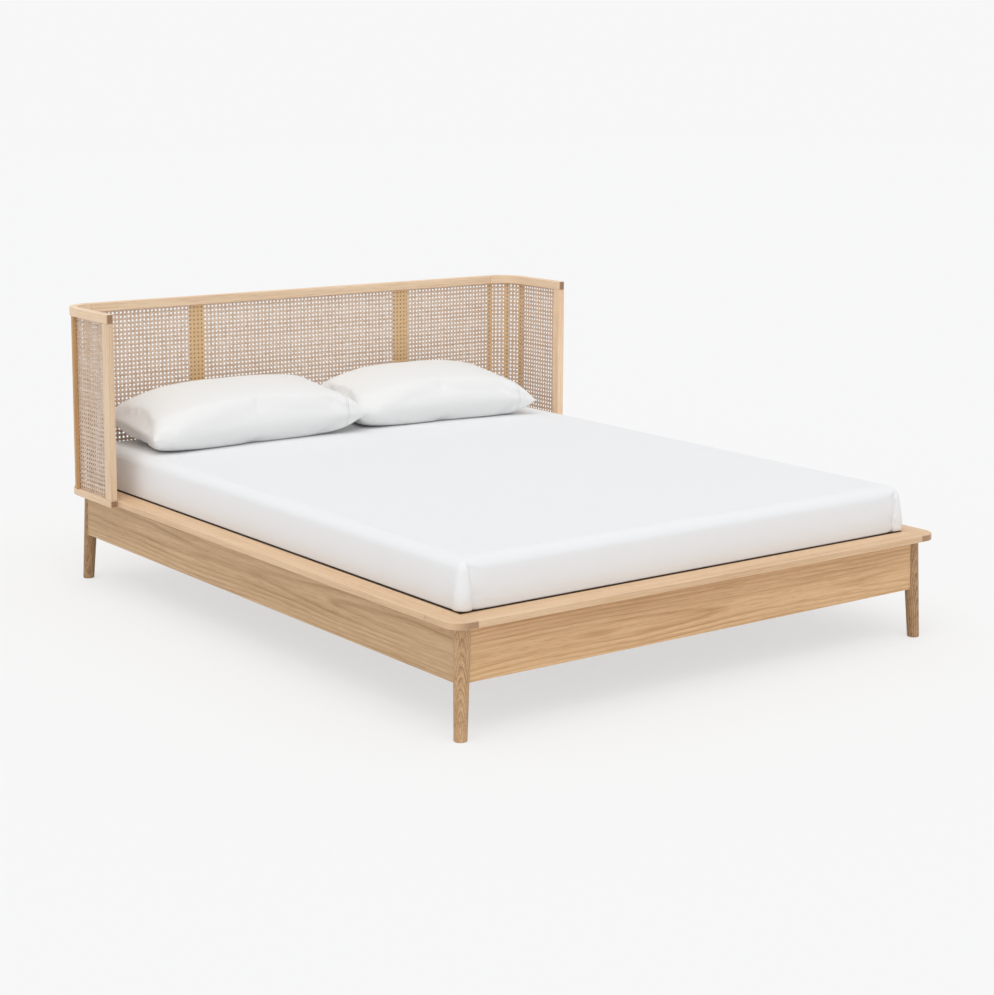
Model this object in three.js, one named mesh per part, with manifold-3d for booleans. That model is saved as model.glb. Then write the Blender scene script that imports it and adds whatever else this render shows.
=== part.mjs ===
// King size bed: an oak platform frame on turned legs, with a wrap-round
// headboard of woven cane, a mattress and two pillows.
// Millimetres, +Z up. The foot of the bed is at -Y and the headboard at +Y.
// The origin is on the floor, under the middle of the bed.
import * as THREE from "three";
import { mergeVertices } from "three/addons/utils/BufferGeometryUtils.js";
import Module from "manifold-3d";

const wasm = await Module();
wasm.setup();

// Driving dimensions: the clearances.
const seatGap = 0.3;
const fitGap = 0.3;

// Corners nearer to each other than this are one corner.
const samePoint = 1e-3;

// Driving dimensions: the mattress and the well that it lies in.
const mattressWidth = 1596;
const mattressLength = 1996;
const mattressHeight = 200;
const mattressEdgeRadius = 38;
const mattressCornerDraw = 5;
const mattressCornerSharpness = 8;
const mattressCrown = 7;
const mattressPlay = 4;
const mattressGrid = { width: 8, length: 10, height: 1, edge: 3 };

// Driving dimensions: the ledge, a board that runs round the mattress.
const sideLedgeWidth = 70;
const footLedgeWidth = 76;
const ledgeThickness = 19;
const ledgeCornerRadius = 50;
const ledgeCornerLength = 133;
const ledgeArris = 2;

// Driving dimensions: the rails under the ledge.
const railHeight = 148;
const railThickness = 22;
const railUnderside = 146;
const sideLedgeOverhang = 39;
const footLedgeOverhang = 39;
const railArris = 1.2;
const railHousing = 5;

// Driving dimensions: the turned legs, which splay outwards to the floor.
const legFloorRadius = 17.5;
const legTopRadius = 23;
const legSplay = 0.044;
const legArris = 2.5;
const footLegInset = 42;
const headLegInset = 18;
const legSideInset = 47;
const legSides = 28;
const housingCutLength = 92;

// Driving dimensions: the slatted platform.
const slatCount = 13;
const slatWidth = 90;
const slatThickness = 18;
const slatEndPlay = 2;
const firstSlatInset = 130;
const lastSlatInset = 100;
const mattressSink = 58;
const ledgerWidth = 26;
const ledgerHeight = 42;
const ledgerEndInset = 78;
const beamWidth = 45;
const beamHeight = 70;
const shoeThickness = 2.5;
const shoeDepth = 45;
const shoeFlange = 24;
const centreLegRadius = 21;
const centreLegShare = 0.3;
const glidePadRadius = 15;
const glidePadHeight = 6;
const glidePadArris = 1;
const glidePadSlope = { across: 4, down: 2 };
const glideLegClearance = 2;
const glideStemRadius = 4;
const glideStemLength = 46;
const glideBoreRadius = 4.4;
const glideTravel = 10;
const glideFloorGap = 0.4;

// Driving dimensions: the steel plates that tie each corner together.
const plateThickness = 2.5;
const plateHeight = 42;
const plateFlange = 34;
const plateSpan = 74;
const plateLift = 4;

// Driving dimensions: the headboard.
const headboardTop = 895;
const headboardThickness = 25;
const headboardCornerRadius = 100;
const wingLength = 330;
const topRailHeight = 28;
const bottomRailHeight = 20;
const stileWidth = 30;
const railNose = 2;
const railNoseRadius = 6;
const headboardArris = 1.5;
const wideBattenWidth = 56;
const wideBattenPlace = 410;
const narrowBattenWidth = 15;
const cornerBattenTurns = { back: 6, middle: 45, wing: 84 };
const battenThickness = 12;
const battenSetback = 1;
const caneThickness = 2.5;
const splineThickness = 3;
const grooveDepth = 5;
const bendSteps = 12;

// Driving dimensions: the plain grid of openings that the cane's open weave is
// reduced to. One column of them is in each wing and the others are in the back.
const weaveColumns = 10;
const weaveRows = 4;
const weaveOpenShare = { width: 0.62, height: 0.66 };

// Driving dimensions: the pillows.
const pillowWidth = 745;
const pillowDepth = 385;
const pillowHeight = 172;
const pillowTilt = THREE.MathUtils.degToRad(6);
const pillowGap = 20;
const pillowShift = 15;
const pillowTurns = { left: 0, right: -4 };
const pillowHeadGap = 9;
const pillowDraw = { width: 0.05, depth: 0.09 };
const pillowFill = { flatness: 4, plumpness: 0.55, above: 0.6, below: 0.4 };
const pillowGrid = { width: 20, depth: 14 };

// Places that follow from the sizes.
const wellHalfWidth = mattressWidth / 2 + mattressPlay;
const wellLength = mattressLength + 2 * mattressPlay;
const ledgeHalfWidth = wellHalfWidth + sideLedgeWidth;
const headboardHalfWidth = ledgeHalfWidth + seatGap + headboardThickness;
const endRailOffset = footLegInset + legSplay * railUnderside - footLedgeOverhang;
const headRailSetback = headLegInset + legSplay * railUnderside - endRailOffset;
const bedLength = footLedgeWidth + wellLength + railThickness + headRailSetback;
const footY = -bedLength / 2;
const headY = bedLength / 2;
const headboardFace = headY - headboardThickness;
const railTop = railUnderside + railHeight;
const ledgeUnderside = railTop + seatGap;
const ledgeTop = ledgeUnderside + ledgeThickness;
const slatTop = ledgeTop - mattressSink;
const slatUnderside = slatTop - slatThickness;
const mattressUnderside = slatTop + seatGap;
const mattressTop = mattressUnderside + mattressHeight;
const sideRailFace = ledgeHalfWidth - sideLedgeOverhang;
const sideRailInside = sideRailFace - railThickness;
const footRailFace = footY + footLedgeOverhang;
const legX = ledgeHalfWidth - legSideInset;
const footLegY = footY + footLegInset;
const headLegY = headY - headLegInset;
const headRailFace = headY - headRailSetback;
const headboardBottom = railTop + seatGap;
const windowBottom = headboardBottom + bottomRailHeight;
const windowTop = headboardTop - topRailHeight;
const wingFront = headY - wingLength;
const bendStart = headboardHalfWidth - headboardCornerRadius;
const bendY = headY - headboardCornerRadius;

// Materials, with the colours of the photograph.
const oak = () => new THREE.MeshStandardMaterial({ color: "#cfa97c", roughness: 0.62, metalness: 0 });
const legOak = () => new THREE.MeshStandardMaterial({ color: "#bd9168", roughness: 0.6, metalness: 0 });
const cane = () => new THREE.MeshStandardMaterial({ color: "#cdbca4", roughness: 0.7, metalness: 0 });
const batten = () => new THREE.MeshStandardMaterial({ color: "#c9a468", roughness: 0.65, metalness: 0 });
const pine = () => new THREE.MeshStandardMaterial({ color: "#e0c79a", roughness: 0.75, metalness: 0 });
const steel = () => new THREE.MeshStandardMaterial({ color: "#8d9094", roughness: 0.4, metalness: 1 });
const nylon = () => new THREE.MeshStandardMaterial({ color: "#2a2a2c", roughness: 0.55, metalness: 0 });
const cotton = () => new THREE.MeshStandardMaterial({ color: "#f0f0ee", roughness: 0.9, metalness: 0 });

const bed = new THREE.Group();

// Names a piece, puts it in its place and adds it to the bed.
function add(name, geometry, material, x = 0, y = 0, z = 0) {
  const mesh = new THREE.Mesh(geometry, material);
  mesh.name = name;
  mesh.position.set(x, y, z);
  bed.add(mesh);
  return mesh;
}

// A closed mesh as a solid for cutting, with its shared corners merged.
function toSolid(geometry) {
  const bare = geometry.clone();
  bare.deleteAttribute("normal");
  bare.deleteAttribute("uv");
  const merged = mergeVertices(bare, samePoint / 10);
  return new wasm.Manifold(new wasm.Mesh({
    numProp: 3,
    vertProperties: new Float32Array(merged.attributes.position.array),
    triVerts: new Uint32Array(merged.index.array),
  }));
}

// A solid back as a geometry, after cutting.
function toGeometry(solid) {
  const mesh = solid.getMesh();
  const geometry = new THREE.BufferGeometry();
  geometry.setAttribute("position", new THREE.BufferAttribute(new Float32Array(mesh.vertProperties), 3));
  geometry.setIndex(new THREE.BufferAttribute(new Uint32Array(mesh.triVerts), 1));
  geometry.computeVertexNormals();
  return geometry;
}

// Takes every cutter out of a geometry.
function cut(geometry, ...cutters) {
  return toGeometry(cutters.reduce((solid, cutter) => solid.subtract(toSolid(cutter)), toSolid(geometry)));
}

// An outline as plain points, each clear of the one before it.
function plainOutline(shape, curveSegments) {
  const points = shape.getPoints(curveSegments);
  const apart = (a, b) => a.distanceTo(b) > samePoint;
  return new THREE.Shape(points.filter((point, i) => apart(point, points.at(i - 1))));
}

// A plan outline raised from z = 0 to a height, its long edges eased by an arris.
function raise(shape, height, arris, curveSegments = bendSteps) {
  const geometry = new THREE.ExtrudeGeometry(plainOutline(shape, curveSegments), {
    depth: height - 2 * arris,
    bevelEnabled: arris > 0,
    bevelThickness: arris,
    bevelSize: arris,
    bevelOffset: -arris,
    bevelSegments: 1,
  });
  return geometry.translate(0, 0, arris);
}

// A rectangle in plan between two corners, its own corners cut by an arris.
function rectangle(x0, y0, x1, y1, arris = 0) {
  const shape = new THREE.Shape();
  shape.moveTo(x0 + arris, y0);
  shape.lineTo(x1 - arris, y0);
  if (arris > 0) shape.lineTo(x1, y0 + arris);
  shape.lineTo(x1, y1 - arris);
  if (arris > 0) shape.lineTo(x1 - arris, y1);
  shape.lineTo(x0 + arris, y1);
  if (arris > 0) shape.lineTo(x0, y1 - arris);
  shape.lineTo(x0, y0 + arris);
  return shape;
}

// A straight board that fills a box in the bed's own frame.
function board(x0, x1, y0, y1, z0, z1, arris) {
  return raise(rectangle(x0, y0, x1, y1, arris), z1 - z0, arris).translate(0, 0, z0);
}

// The same piece on the other side of the bed.
function mirrored(geometry) {
  const copy = geometry.clone().scale(-1, 1, 1);
  const flat = copy.index ? copy.toNonIndexed() : copy;
  const position = flat.attributes.position;
  for (let i = 0; i < position.count; i += 3) {
    const a = new THREE.Vector3().fromBufferAttribute(position, i + 1);
    const b = new THREE.Vector3().fromBufferAttribute(position, i + 2);
    position.setXYZ(i + 1, b.x, b.y, b.z);
    position.setXYZ(i + 2, a.x, a.y, a.z);
  }
  flat.computeVertexNormals();
  return flat;
}

// Adds a right-hand piece and its mirror image on the left.
function addPair(name, geometry, material) {
  add(`${name}_right`, geometry, material());
  add(`${name}_left`, mirrored(geometry), material());
}

// The legs: turned and tapered, splayed both ways, cut level at the floor and
// at the top, and housed for the ends of the two rails that meet there.
const legRadiusAt = (z) => legFloorRadius + (legTopRadius - legFloorRadius) * (z / railTop);
const railEndFromAxis = (faceOffset) => {
  const radius = legRadiusAt(railUnderside);
  return Math.sqrt(radius * radius - faceOffset * faceOffset) - railHousing;
};
const legAxisX = legX - legSplay * railUnderside;
const footLegAxisY = footLegY + legSplay * railUnderside;
const headLegAxisY = headLegY - legSplay * railUnderside;
const sideRailFoot = footLegAxisY + railEndFromAxis(sideRailFace - legAxisX);
const sideRailHead = headLegAxisY - railEndFromAxis(sideRailFace - legAxisX);
const endRailHalf = legAxisX - railEndFromAxis(footLegAxisY - footRailFace);

function leg(y, inward) {
  const profile = [
    new THREE.Vector2(0, 0),
    new THREE.Vector2(legFloorRadius - legArris, 0),
    new THREE.Vector2(legRadiusAt(legArris), legArris),
    new THREE.Vector2(legTopRadius, railTop),
    new THREE.Vector2(0, railTop),
  ];
  const turned = new THREE.LatheGeometry(profile, legSides).rotateX(Math.PI / 2);
  const splayed = new THREE.Matrix4().set(
    1, 0, -legSplay, legX,
    0, 1, inward * legSplay, y,
    0, 0, 1, 0,
    0, 0, 0, 1,
  );
  turned.applyMatrix4(splayed);
  const low = railUnderside - fitGap;
  const high = railTop + legTopRadius;
  const sideEnd = inward > 0 ? sideRailFoot : sideRailHead;
  const past = sideEnd + inward * housingCutLength;
  const sideHousing = raise(rectangle(
    sideRailInside - fitGap, Math.min(sideEnd - inward * fitGap, past),
    sideRailFace + fitGap, Math.max(sideEnd - inward * fitGap, past),
  ), high - low, 0).translate(0, 0, low);
  const face = inward > 0 ? footRailFace : headRailFace;
  const back = face + inward * railThickness;
  const endHousing = raise(rectangle(
    endRailHalf - housingCutLength, Math.min(face, back) - fitGap,
    endRailHalf + fitGap, Math.max(face, back) + fitGap,
  ), high - low, 0).translate(0, 0, low);
  return cut(turned, sideHousing, endHousing);
}
addPair("leg_foot", leg(footLegY, 1), legOak);
addPair("leg_head", leg(headLegY, -1), legOak);

// The rails: one on each side, one at the foot and one at the head.
addPair("side_rail", board(sideRailInside, sideRailFace, sideRailFoot, sideRailHead,
  railUnderside, railTop, railArris), oak);
add("foot_rail", board(-endRailHalf, endRailHalf, footRailFace, footRailFace + railThickness,
  railUnderside, railTop, railArris), oak());
add("head_rail", board(-endRailHalf, endRailHalf, headRailFace - railThickness, headRailFace,
  railUnderside, railTop, railArris), oak());

// The ledge: a foot board between two corner pieces with a rounded corner, and
// two long side boards whose head ends follow the bend of the headboard.
function ledgeCorner() {
  const shape = new THREE.Shape();
  shape.moveTo(wellHalfWidth, footY);
  shape.lineTo(ledgeHalfWidth - ledgeCornerRadius, footY);
  shape.absarc(ledgeHalfWidth - ledgeCornerRadius, footY + ledgeCornerRadius,
    ledgeCornerRadius, -Math.PI / 2, 0, false);
  shape.lineTo(ledgeHalfWidth, footY + ledgeCornerLength);
  shape.lineTo(wellHalfWidth, footY + ledgeCornerLength);
  return raise(shape, ledgeThickness, ledgeArris, 8).translate(0, 0, ledgeUnderside);
}
function sideLedge() {
  const radius = headboardCornerRadius - headboardThickness - seatGap;
  const innerAngle = Math.acos((wellHalfWidth - bendStart) / radius);
  const shape = new THREE.Shape();
  shape.moveTo(wellHalfWidth, footY + ledgeCornerLength + seatGap);
  shape.lineTo(ledgeHalfWidth, footY + ledgeCornerLength + seatGap);
  shape.lineTo(ledgeHalfWidth, bendY);
  shape.absarc(bendStart, bendY, radius, 0, innerAngle, false);
  return raise(shape, ledgeThickness, ledgeArris, 8).translate(0, 0, ledgeUnderside);
}
addPair("ledge_corner", ledgeCorner(), oak);
addPair("side_ledge", sideLedge(), oak);
add("foot_ledge", board(-wellHalfWidth + seatGap, wellHalfWidth - seatGap, footY, footY + footLedgeWidth,
  ledgeUnderside, ledgeTop, ledgeArris), oak());

// The platform: ledgers on the side rails, a beam down the middle in two steel
// shoes, two centre legs with screw feet, and the slats across them.
const ledgerTop = slatUnderside - seatGap;
addPair("slat_ledger", board(sideRailInside - seatGap - ledgerWidth, sideRailInside - seatGap,
  footY + ledgerEndInset, headRailFace - railThickness - ledgerEndInset + legTopRadius,
  ledgerTop - ledgerHeight, ledgerTop, railArris), pine);

const beamTop = ledgerTop;
const beamUnderside = beamTop - beamHeight;
const footRailInside = footRailFace + railThickness;
const headRailInside = headRailFace - railThickness;
const beamFoot = footRailInside + seatGap + shoeThickness + seatGap;
const beamHead = headRailInside - seatGap - shoeThickness - seatGap;
add("centre_beam", board(-beamWidth / 2, beamWidth / 2, beamFoot, beamHead,
  beamUnderside, beamTop, railArris), pine());

// A shoe is folded from one plate: a back on the rail, a floor and two cheeks.
function beamShoe() {
  const inner = beamWidth / 2 + fitGap;
  const outer = inner + shoeThickness;
  const floor = beamUnderside - seatGap;
  const top = beamTop - ledgerHeight / 2;
  const back = raise(rectangle(-outer - shoeFlange, 0, outer + shoeFlange, shoeThickness),
    top - floor + shoeThickness, 0).translate(0, 0, floor - shoeThickness);
  const block = raise(rectangle(-outer, 0, outer, shoeDepth), top - floor + shoeThickness, 0)
    .translate(0, 0, floor - shoeThickness);
  const hollow = raise(rectangle(-inner, shoeThickness, inner, shoeDepth + shoeThickness),
    top - floor + shoeThickness, 0).translate(0, 0, floor);
  return toGeometry(toSolid(back).add(toSolid(block)).subtract(toSolid(hollow)));
}
add("beam_shoe_foot", beamShoe(), steel(), 0, footRailInside + seatGap, 0);
const headShoe = add("beam_shoe_head", beamShoe(), steel(), 0, headRailInside - seatGap, 0);
headShoe.rotation.z = Math.PI;

// Each centre leg is bored from below for the stem of its screw foot.
const glidePadTop = glideFloorGap + glidePadHeight;
const centreLegFoot = glidePadTop + glideTravel + glideLegClearance;
const centreLegTop = beamUnderside - seatGap;
function centreLeg() {
  const bore = glideStemLength + glideTravel;
  const profile = [
    new THREE.Vector2(glideBoreRadius, 0),
    new THREE.Vector2(centreLegRadius - legArris, 0),
    new THREE.Vector2(centreLegRadius, legArris),
    new THREE.Vector2(centreLegRadius, centreLegTop - centreLegFoot),
    new THREE.Vector2(0, centreLegTop - centreLegFoot),
    new THREE.Vector2(0, bore),
    new THREE.Vector2(glideBoreRadius, bore),
    new THREE.Vector2(glideBoreRadius, 0),
  ];
  return new THREE.LatheGeometry(profile, legSides).rotateX(Math.PI / 2);
}
function screwFoot() {
  const profile = [
    new THREE.Vector2(0, 0),
    new THREE.Vector2(glidePadRadius - glidePadArris, 0),
    new THREE.Vector2(glidePadRadius, glidePadArris),
    new THREE.Vector2(glidePadRadius, glidePadHeight - glidePadSlope.down),
    new THREE.Vector2(glidePadRadius - glidePadSlope.across, glidePadHeight),
    new THREE.Vector2(glideStemRadius, glidePadHeight),
    new THREE.Vector2(glideStemRadius, glidePadHeight + glideStemLength),
    new THREE.Vector2(0, glidePadHeight + glideStemLength),
  ];
  return new THREE.LatheGeometry(profile, legSides).rotateX(Math.PI / 2);
}
const centreLegY = { foot: footY + centreLegShare * bedLength, head: headY - centreLegShare * bedLength };
for (const [end, y] of Object.entries(centreLegY)) {
  add(`centre_leg_${end}`, centreLeg(), pine(), 0, y, centreLegFoot);
  add(`screw_foot_${end}`, screwFoot(), nylon(), 0, y, glideFloorGap);
}

const slatHalf = sideRailInside - slatEndPlay;
const slatPitch = (bedLength - firstSlatInset - lastSlatInset) / (slatCount - 1);
for (let i = 0; i < slatCount; i += 1) {
  const y = footY + firstSlatInset + i * slatPitch;
  const slat = board(-slatHalf, slatHalf, -slatWidth / 2, slatWidth / 2, slatUnderside, slatTop, railArris);
  add(`slat_${String(i + 1).padStart(2, "0")}`, slat, pine(), 0, y, 0);
}

// The corner plates: a flange on each rail and a straight web across the leg.
function cornerPlate(endFace, inward) {
  const t = plateThickness;
  const x = sideRailInside - seatGap;
  const y = endFace + inward * seatGap;
  const slope = t * Math.SQRT2;
  const outline = [
    [x, inward * (plateSpan + plateFlange)],
    [x - t, inward * (plateSpan + plateFlange)],
    [x - t, inward * (plateSpan - (slope - t))],
    [x - plateSpan + (slope - t), inward * t],
    [x - plateSpan - plateFlange, inward * t],
    [x - plateSpan - plateFlange, 0],
    [x - plateSpan, 0],
    [x, inward * plateSpan],
  ];
  const shape = new THREE.Shape(outline.map(([px, py]) => new THREE.Vector2(px, y + py)));
  return raise(shape, plateHeight, 0);
}
const plateZ = railUnderside + plateLift;
const footPlate = cornerPlate(footRailInside, 1).translate(0, 0, plateZ);
const headPlate = cornerPlate(headRailInside, -1).translate(0, 0, plateZ);
addPair("corner_plate_foot", footPlate, steel);
addPair("corner_plate_head", headPlate, steel);

// The headboard's plan between two depths, measured in from its outer face.
function wrapOutline(outer, inner, front) {
  const half = headboardHalfWidth;
  const radius = headboardCornerRadius;
  const shape = new THREE.Shape();
  shape.moveTo(-half + inner, front);
  shape.lineTo(-half + inner, bendY);
  shape.absarc(-bendStart, bendY, radius - inner, Math.PI, Math.PI / 2, true);
  shape.lineTo(bendStart, headY - inner);
  shape.absarc(bendStart, bendY, radius - inner, Math.PI / 2, 0, true);
  shape.lineTo(half - inner, front);
  shape.lineTo(half - outer, front);
  shape.lineTo(half - outer, bendY);
  shape.absarc(bendStart, bendY, radius - outer, 0, Math.PI / 2, false);
  shape.lineTo(-bendStart, headY - outer);
  shape.absarc(-bendStart, bendY, radius - outer, Math.PI / 2, Math.PI, false);
  shape.lineTo(-half + outer, front);
  return shape;
}
function wrapStrip(outer, inner, front, z0, z1) {
  return raise(wrapOutline(outer, inner, front), z1 - z0, 0).translate(0, 0, z0);
}

// One groove all round the frame takes the edge of the cane and, outside it,
// the spline that locks the cane in.
const caneOuter = battenSetback + battenThickness + seatGap;
const caneInner = caneOuter + caneThickness;
const splineInner = caneOuter - seatGap;
const splineOuter = splineInner - splineThickness;
const caneReach = grooveDepth - seatGap;
const windowFront = wingFront + stileWidth;
const groove = wrapStrip(splineOuter - fitGap, caneInner + fitGap, windowFront - grooveDepth,
  windowBottom - grooveDepth, windowTop + grooveDepth);

// The bent rail of one wing: from the seam on the back, round the corner, to a
// rounded nose just past the front stile.
function bentRail(height) {
  const outer = headboardHalfWidth;
  const inner = headboardHalfWidth - headboardThickness;
  const nose = wingFront - railNose;
  const shape = new THREE.Shape();
  shape.absarc(bendStart, bendY, headboardCornerRadius - headboardThickness, Math.PI / 2, 0, true);
  shape.lineTo(inner, nose + railNoseRadius);
  shape.absarc(inner + railNoseRadius, nose + railNoseRadius, railNoseRadius, Math.PI, Math.PI * 1.5, false);
  shape.absarc(outer - railNoseRadius, nose + railNoseRadius, railNoseRadius, -Math.PI / 2, 0, false);
  shape.lineTo(outer, bendY);
  shape.absarc(bendStart, bendY, headboardCornerRadius, 0, Math.PI / 2, false);
  return raise(shape, height, headboardArris);
}
const straightHalf = bendStart - seatGap;
function straightRail(height) {
  return raise(rectangle(-straightHalf, headboardFace, straightHalf, headY), height, headboardArris);
}
add("headboard_top_rail", cut(straightRail(topRailHeight).translate(0, 0, windowTop), groove), oak());
add("headboard_bottom_rail", cut(straightRail(bottomRailHeight).translate(0, 0, headboardBottom), groove), oak());
addPair("headboard_top_bend", cut(bentRail(topRailHeight).translate(0, 0, windowTop), groove), oak);
addPair("headboard_bottom_bend", cut(bentRail(bottomRailHeight).translate(0, 0, headboardBottom), groove), oak);

const stile = board(headboardHalfWidth - headboardThickness, headboardHalfWidth, wingFront, windowFront,
  windowBottom + seatGap, windowTop - seatGap, headboardArris);
addPair("headboard_stile", cut(stile, groove), oak);

// The battens stand against the outside of the cane, between the rails.
const battenLow = windowBottom + seatGap;
const battenHigh = windowTop - seatGap;
function battenAt(width) {
  return board(-width / 2, width / 2, -battenThickness / 2, battenThickness / 2, battenLow, battenHigh, 1);
}
const battenDepth = battenSetback + battenThickness / 2;
for (const [side, sign] of [["left", -1], ["right", 1]]) {
  add(`back_batten_${side}`, battenAt(wideBattenWidth), batten(), sign * wideBattenPlace, headY - battenDepth, 0);
  const reach = headboardCornerRadius - battenDepth;
  for (const [place, degrees] of Object.entries(cornerBattenTurns)) {
    const turn = THREE.MathUtils.degToRad(degrees);
    const x = bendStart + reach * Math.sin(turn);
    const y = bendY + reach * Math.cos(turn);
    const mesh = add(`corner_batten_${place}_${side}`, battenAt(narrowBattenWidth), batten(), sign * x, y, 0);
    mesh.rotation.z = -sign * turn;
  }
}

// The openings: boxes that go through the back from front to back, and through
// each wing from side to side, evenly spaced over the flat stretches.
function weaveOpenings() {
  const openings = [];
  const rise = (windowTop - windowBottom) / weaveRows;
  const pitch = (2 * bendStart) / weaveColumns;
  const halfHeight = (rise * weaveOpenShare.height) / 2;
  const halfWidth = (pitch * weaveOpenShare.width) / 2;
  const wingMiddle = (windowFront + bendY) / 2;
  const wingHalf = ((bendY - windowFront) * weaveOpenShare.width) / 2;
  for (let row = 0; row < weaveRows; row += 1) {
    const z = windowBottom + (row + 0.5) * rise;
    for (let column = 0; column < weaveColumns; column += 1) {
      const x = -bendStart + (column + 0.5) * pitch;
      openings.push(board(x - halfWidth, x + halfWidth, headboardFace, headY, z - halfHeight, z + halfHeight, 0));
    }
    for (const outer of [headboardHalfWidth, headboardThickness - headboardHalfWidth]) {
      openings.push(board(outer - headboardThickness, outer, wingMiddle - wingHalf, wingMiddle + wingHalf,
        z - halfHeight, z + halfHeight, 0));
    }
  }
  return openings;
}

// The cane is one sheet that wraps the whole headboard, its edge in the groove.
const caneSheet = wrapStrip(caneOuter, caneInner, windowFront - caneReach,
  windowBottom - caneReach, windowTop + caneReach);
add("cane_webbing", cut(caneSheet, ...weaveOpenings()), cane());

// The spline is the same wrap, with all but its rim cut away.
const splineSheet = wrapStrip(splineOuter, splineInner, windowFront - caneReach,
  windowBottom - caneReach, windowTop + caneReach);
const splineWindow = wrapStrip(splineOuter - splineThickness, splineInner + splineThickness, windowFront,
  windowBottom, windowTop);
add("cane_spline", cut(splineSheet, splineWindow), cane());

// Lines of a grid across a soft block: evenly turned steps round each edge and
// even steps between them.
function gridLines(half, radius, edgeSteps, flatSteps) {
  const lines = [];
  for (let i = edgeSteps; i > 0; i -= 1) {
    lines.push(-(half - radius) - radius * Math.tan((Math.PI / 4) * (i / edgeSteps)));
  }
  for (let i = 0; i <= flatSteps; i += 1) {
    lines.push((half - radius) * ((2 * i) / flatSteps - 1));
  }
  for (let i = 1; i <= edgeSteps; i += 1) {
    lines.push(half - radius + radius * Math.tan((Math.PI / 4) * (i / edgeSteps)));
  }
  return lines;
}

// How far the mattress's crowned top lies below its highest point, at a share u
// of its half width and a share v of its half length from the middle.
const crownDrop = (u, v) => mattressCrown * (1 - (1 - u * u) * (1 - v * v));
const mattressY = footY + footLedgeWidth + wellLength / 2;

// The mattress: a box whose edges and upright corners are rounded and whose
// top is crowned.
function mattress() {
  const half = new THREE.Vector3(mattressWidth / 2, mattressLength / 2, mattressHeight / 2);
  const flatSteps = [mattressGrid.width, mattressGrid.length, mattressGrid.height];
  const lines = ["x", "y", "z"].map((axis, i) =>
    gridLines(half[axis], mattressEdgeRadius, mattressGrid.edge, flatSteps[i]));
  const counts = lines.map((line) => line.length - 1);
  const box = new THREE.BoxGeometry(2, 2, 2, ...counts);
  box.deleteAttribute("normal");
  box.deleteAttribute("uv");
  const geometry = mergeVertices(box, samePoint / 10);
  const position = geometry.attributes.position;
  const core = half.clone().subScalar(mattressEdgeRadius);
  const point = new THREE.Vector3();
  for (let i = 0; i < position.count; i += 1) {
    point.fromBufferAttribute(position, i);
    const at = ["x", "y", "z"].map((axis, k) => lines[k][Math.round(((point[axis] + 1) / 2) * counts[k])]);
    point.set(...at);
    const nearest = point.clone().clamp(core.clone().negate(), core);
    const out = point.clone().sub(nearest).setLength(mattressEdgeRadius);
    point.copy(nearest).add(out);
    const u = point.x / half.x;
    const v = point.y / half.y;
    const draw = mattressCornerDraw * (u * v) ** (2 * mattressCornerSharpness);
    point.x -= Math.sign(point.x) * draw;
    point.y -= Math.sign(point.y) * draw;
    if (point.z > 0) point.z -= crownDrop(u, v);
    position.setXYZ(i, point.x, point.y, point.z);
  }
  geometry.computeVertexNormals();
  return geometry;
}
add("mattress", mattress(), cotton(), 0, mattressY, mattressUnderside + mattressHeight / 2);

// A pillow: two crowned faces that meet in a seam. The seam is drawn in
// between the corners, so that the corners stand out.
function pillow() {
  const { width: columns, depth: rows } = pillowGrid;
  const points = [];
  const index = [];
  const place = (i, j, side) => {
    const u = Math.sin((Math.PI / 2) * ((2 * i) / columns - 1));
    const v = Math.sin((Math.PI / 2) * ((2 * j) / rows - 1));
    const drawnX = 1 - pillowDraw.width * (1 - v * v);
    const drawnY = 1 - pillowDraw.depth * (1 - u * u);
    const rim = (1 - u ** pillowFill.flatness) * (1 - v ** pillowFill.flatness);
    const lift = Math.max(rim, 0) ** pillowFill.plumpness * (side > 0 ? pillowFill.above : -pillowFill.below);
    return [u * drawnX * (pillowWidth / 2), v * drawnY * (pillowDepth / 2), lift * pillowHeight];
  };
  const number = new Map();
  const vertex = (i, j, side) => {
    const rim = i === 0 || j === 0 || i === columns || j === rows;
    const key = `${i},${j},${rim ? 0 : side}`;
    if (!number.has(key)) {
      number.set(key, points.length / 3);
      points.push(...place(i, j, side));
    }
    return number.get(key);
  };
  for (const side of [1, -1]) {
    for (let i = 0; i < columns; i += 1) {
      for (let j = 0; j < rows; j += 1) {
        const a = vertex(i, j, side);
        const b = vertex(i + 1, j, side);
        const c = vertex(i + 1, j + 1, side);
        const d = vertex(i, j + 1, side);
        if (side > 0) index.push(a, b, c, a, c, d);
        else index.push(a, c, b, a, d, c);
      }
    }
  }
  const geometry = new THREE.BufferGeometry();
  geometry.setAttribute("position", new THREE.BufferAttribute(new Float32Array(points), 3));
  geometry.setIndex(index);
  geometry.computeVertexNormals();
  return geometry;
}

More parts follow.
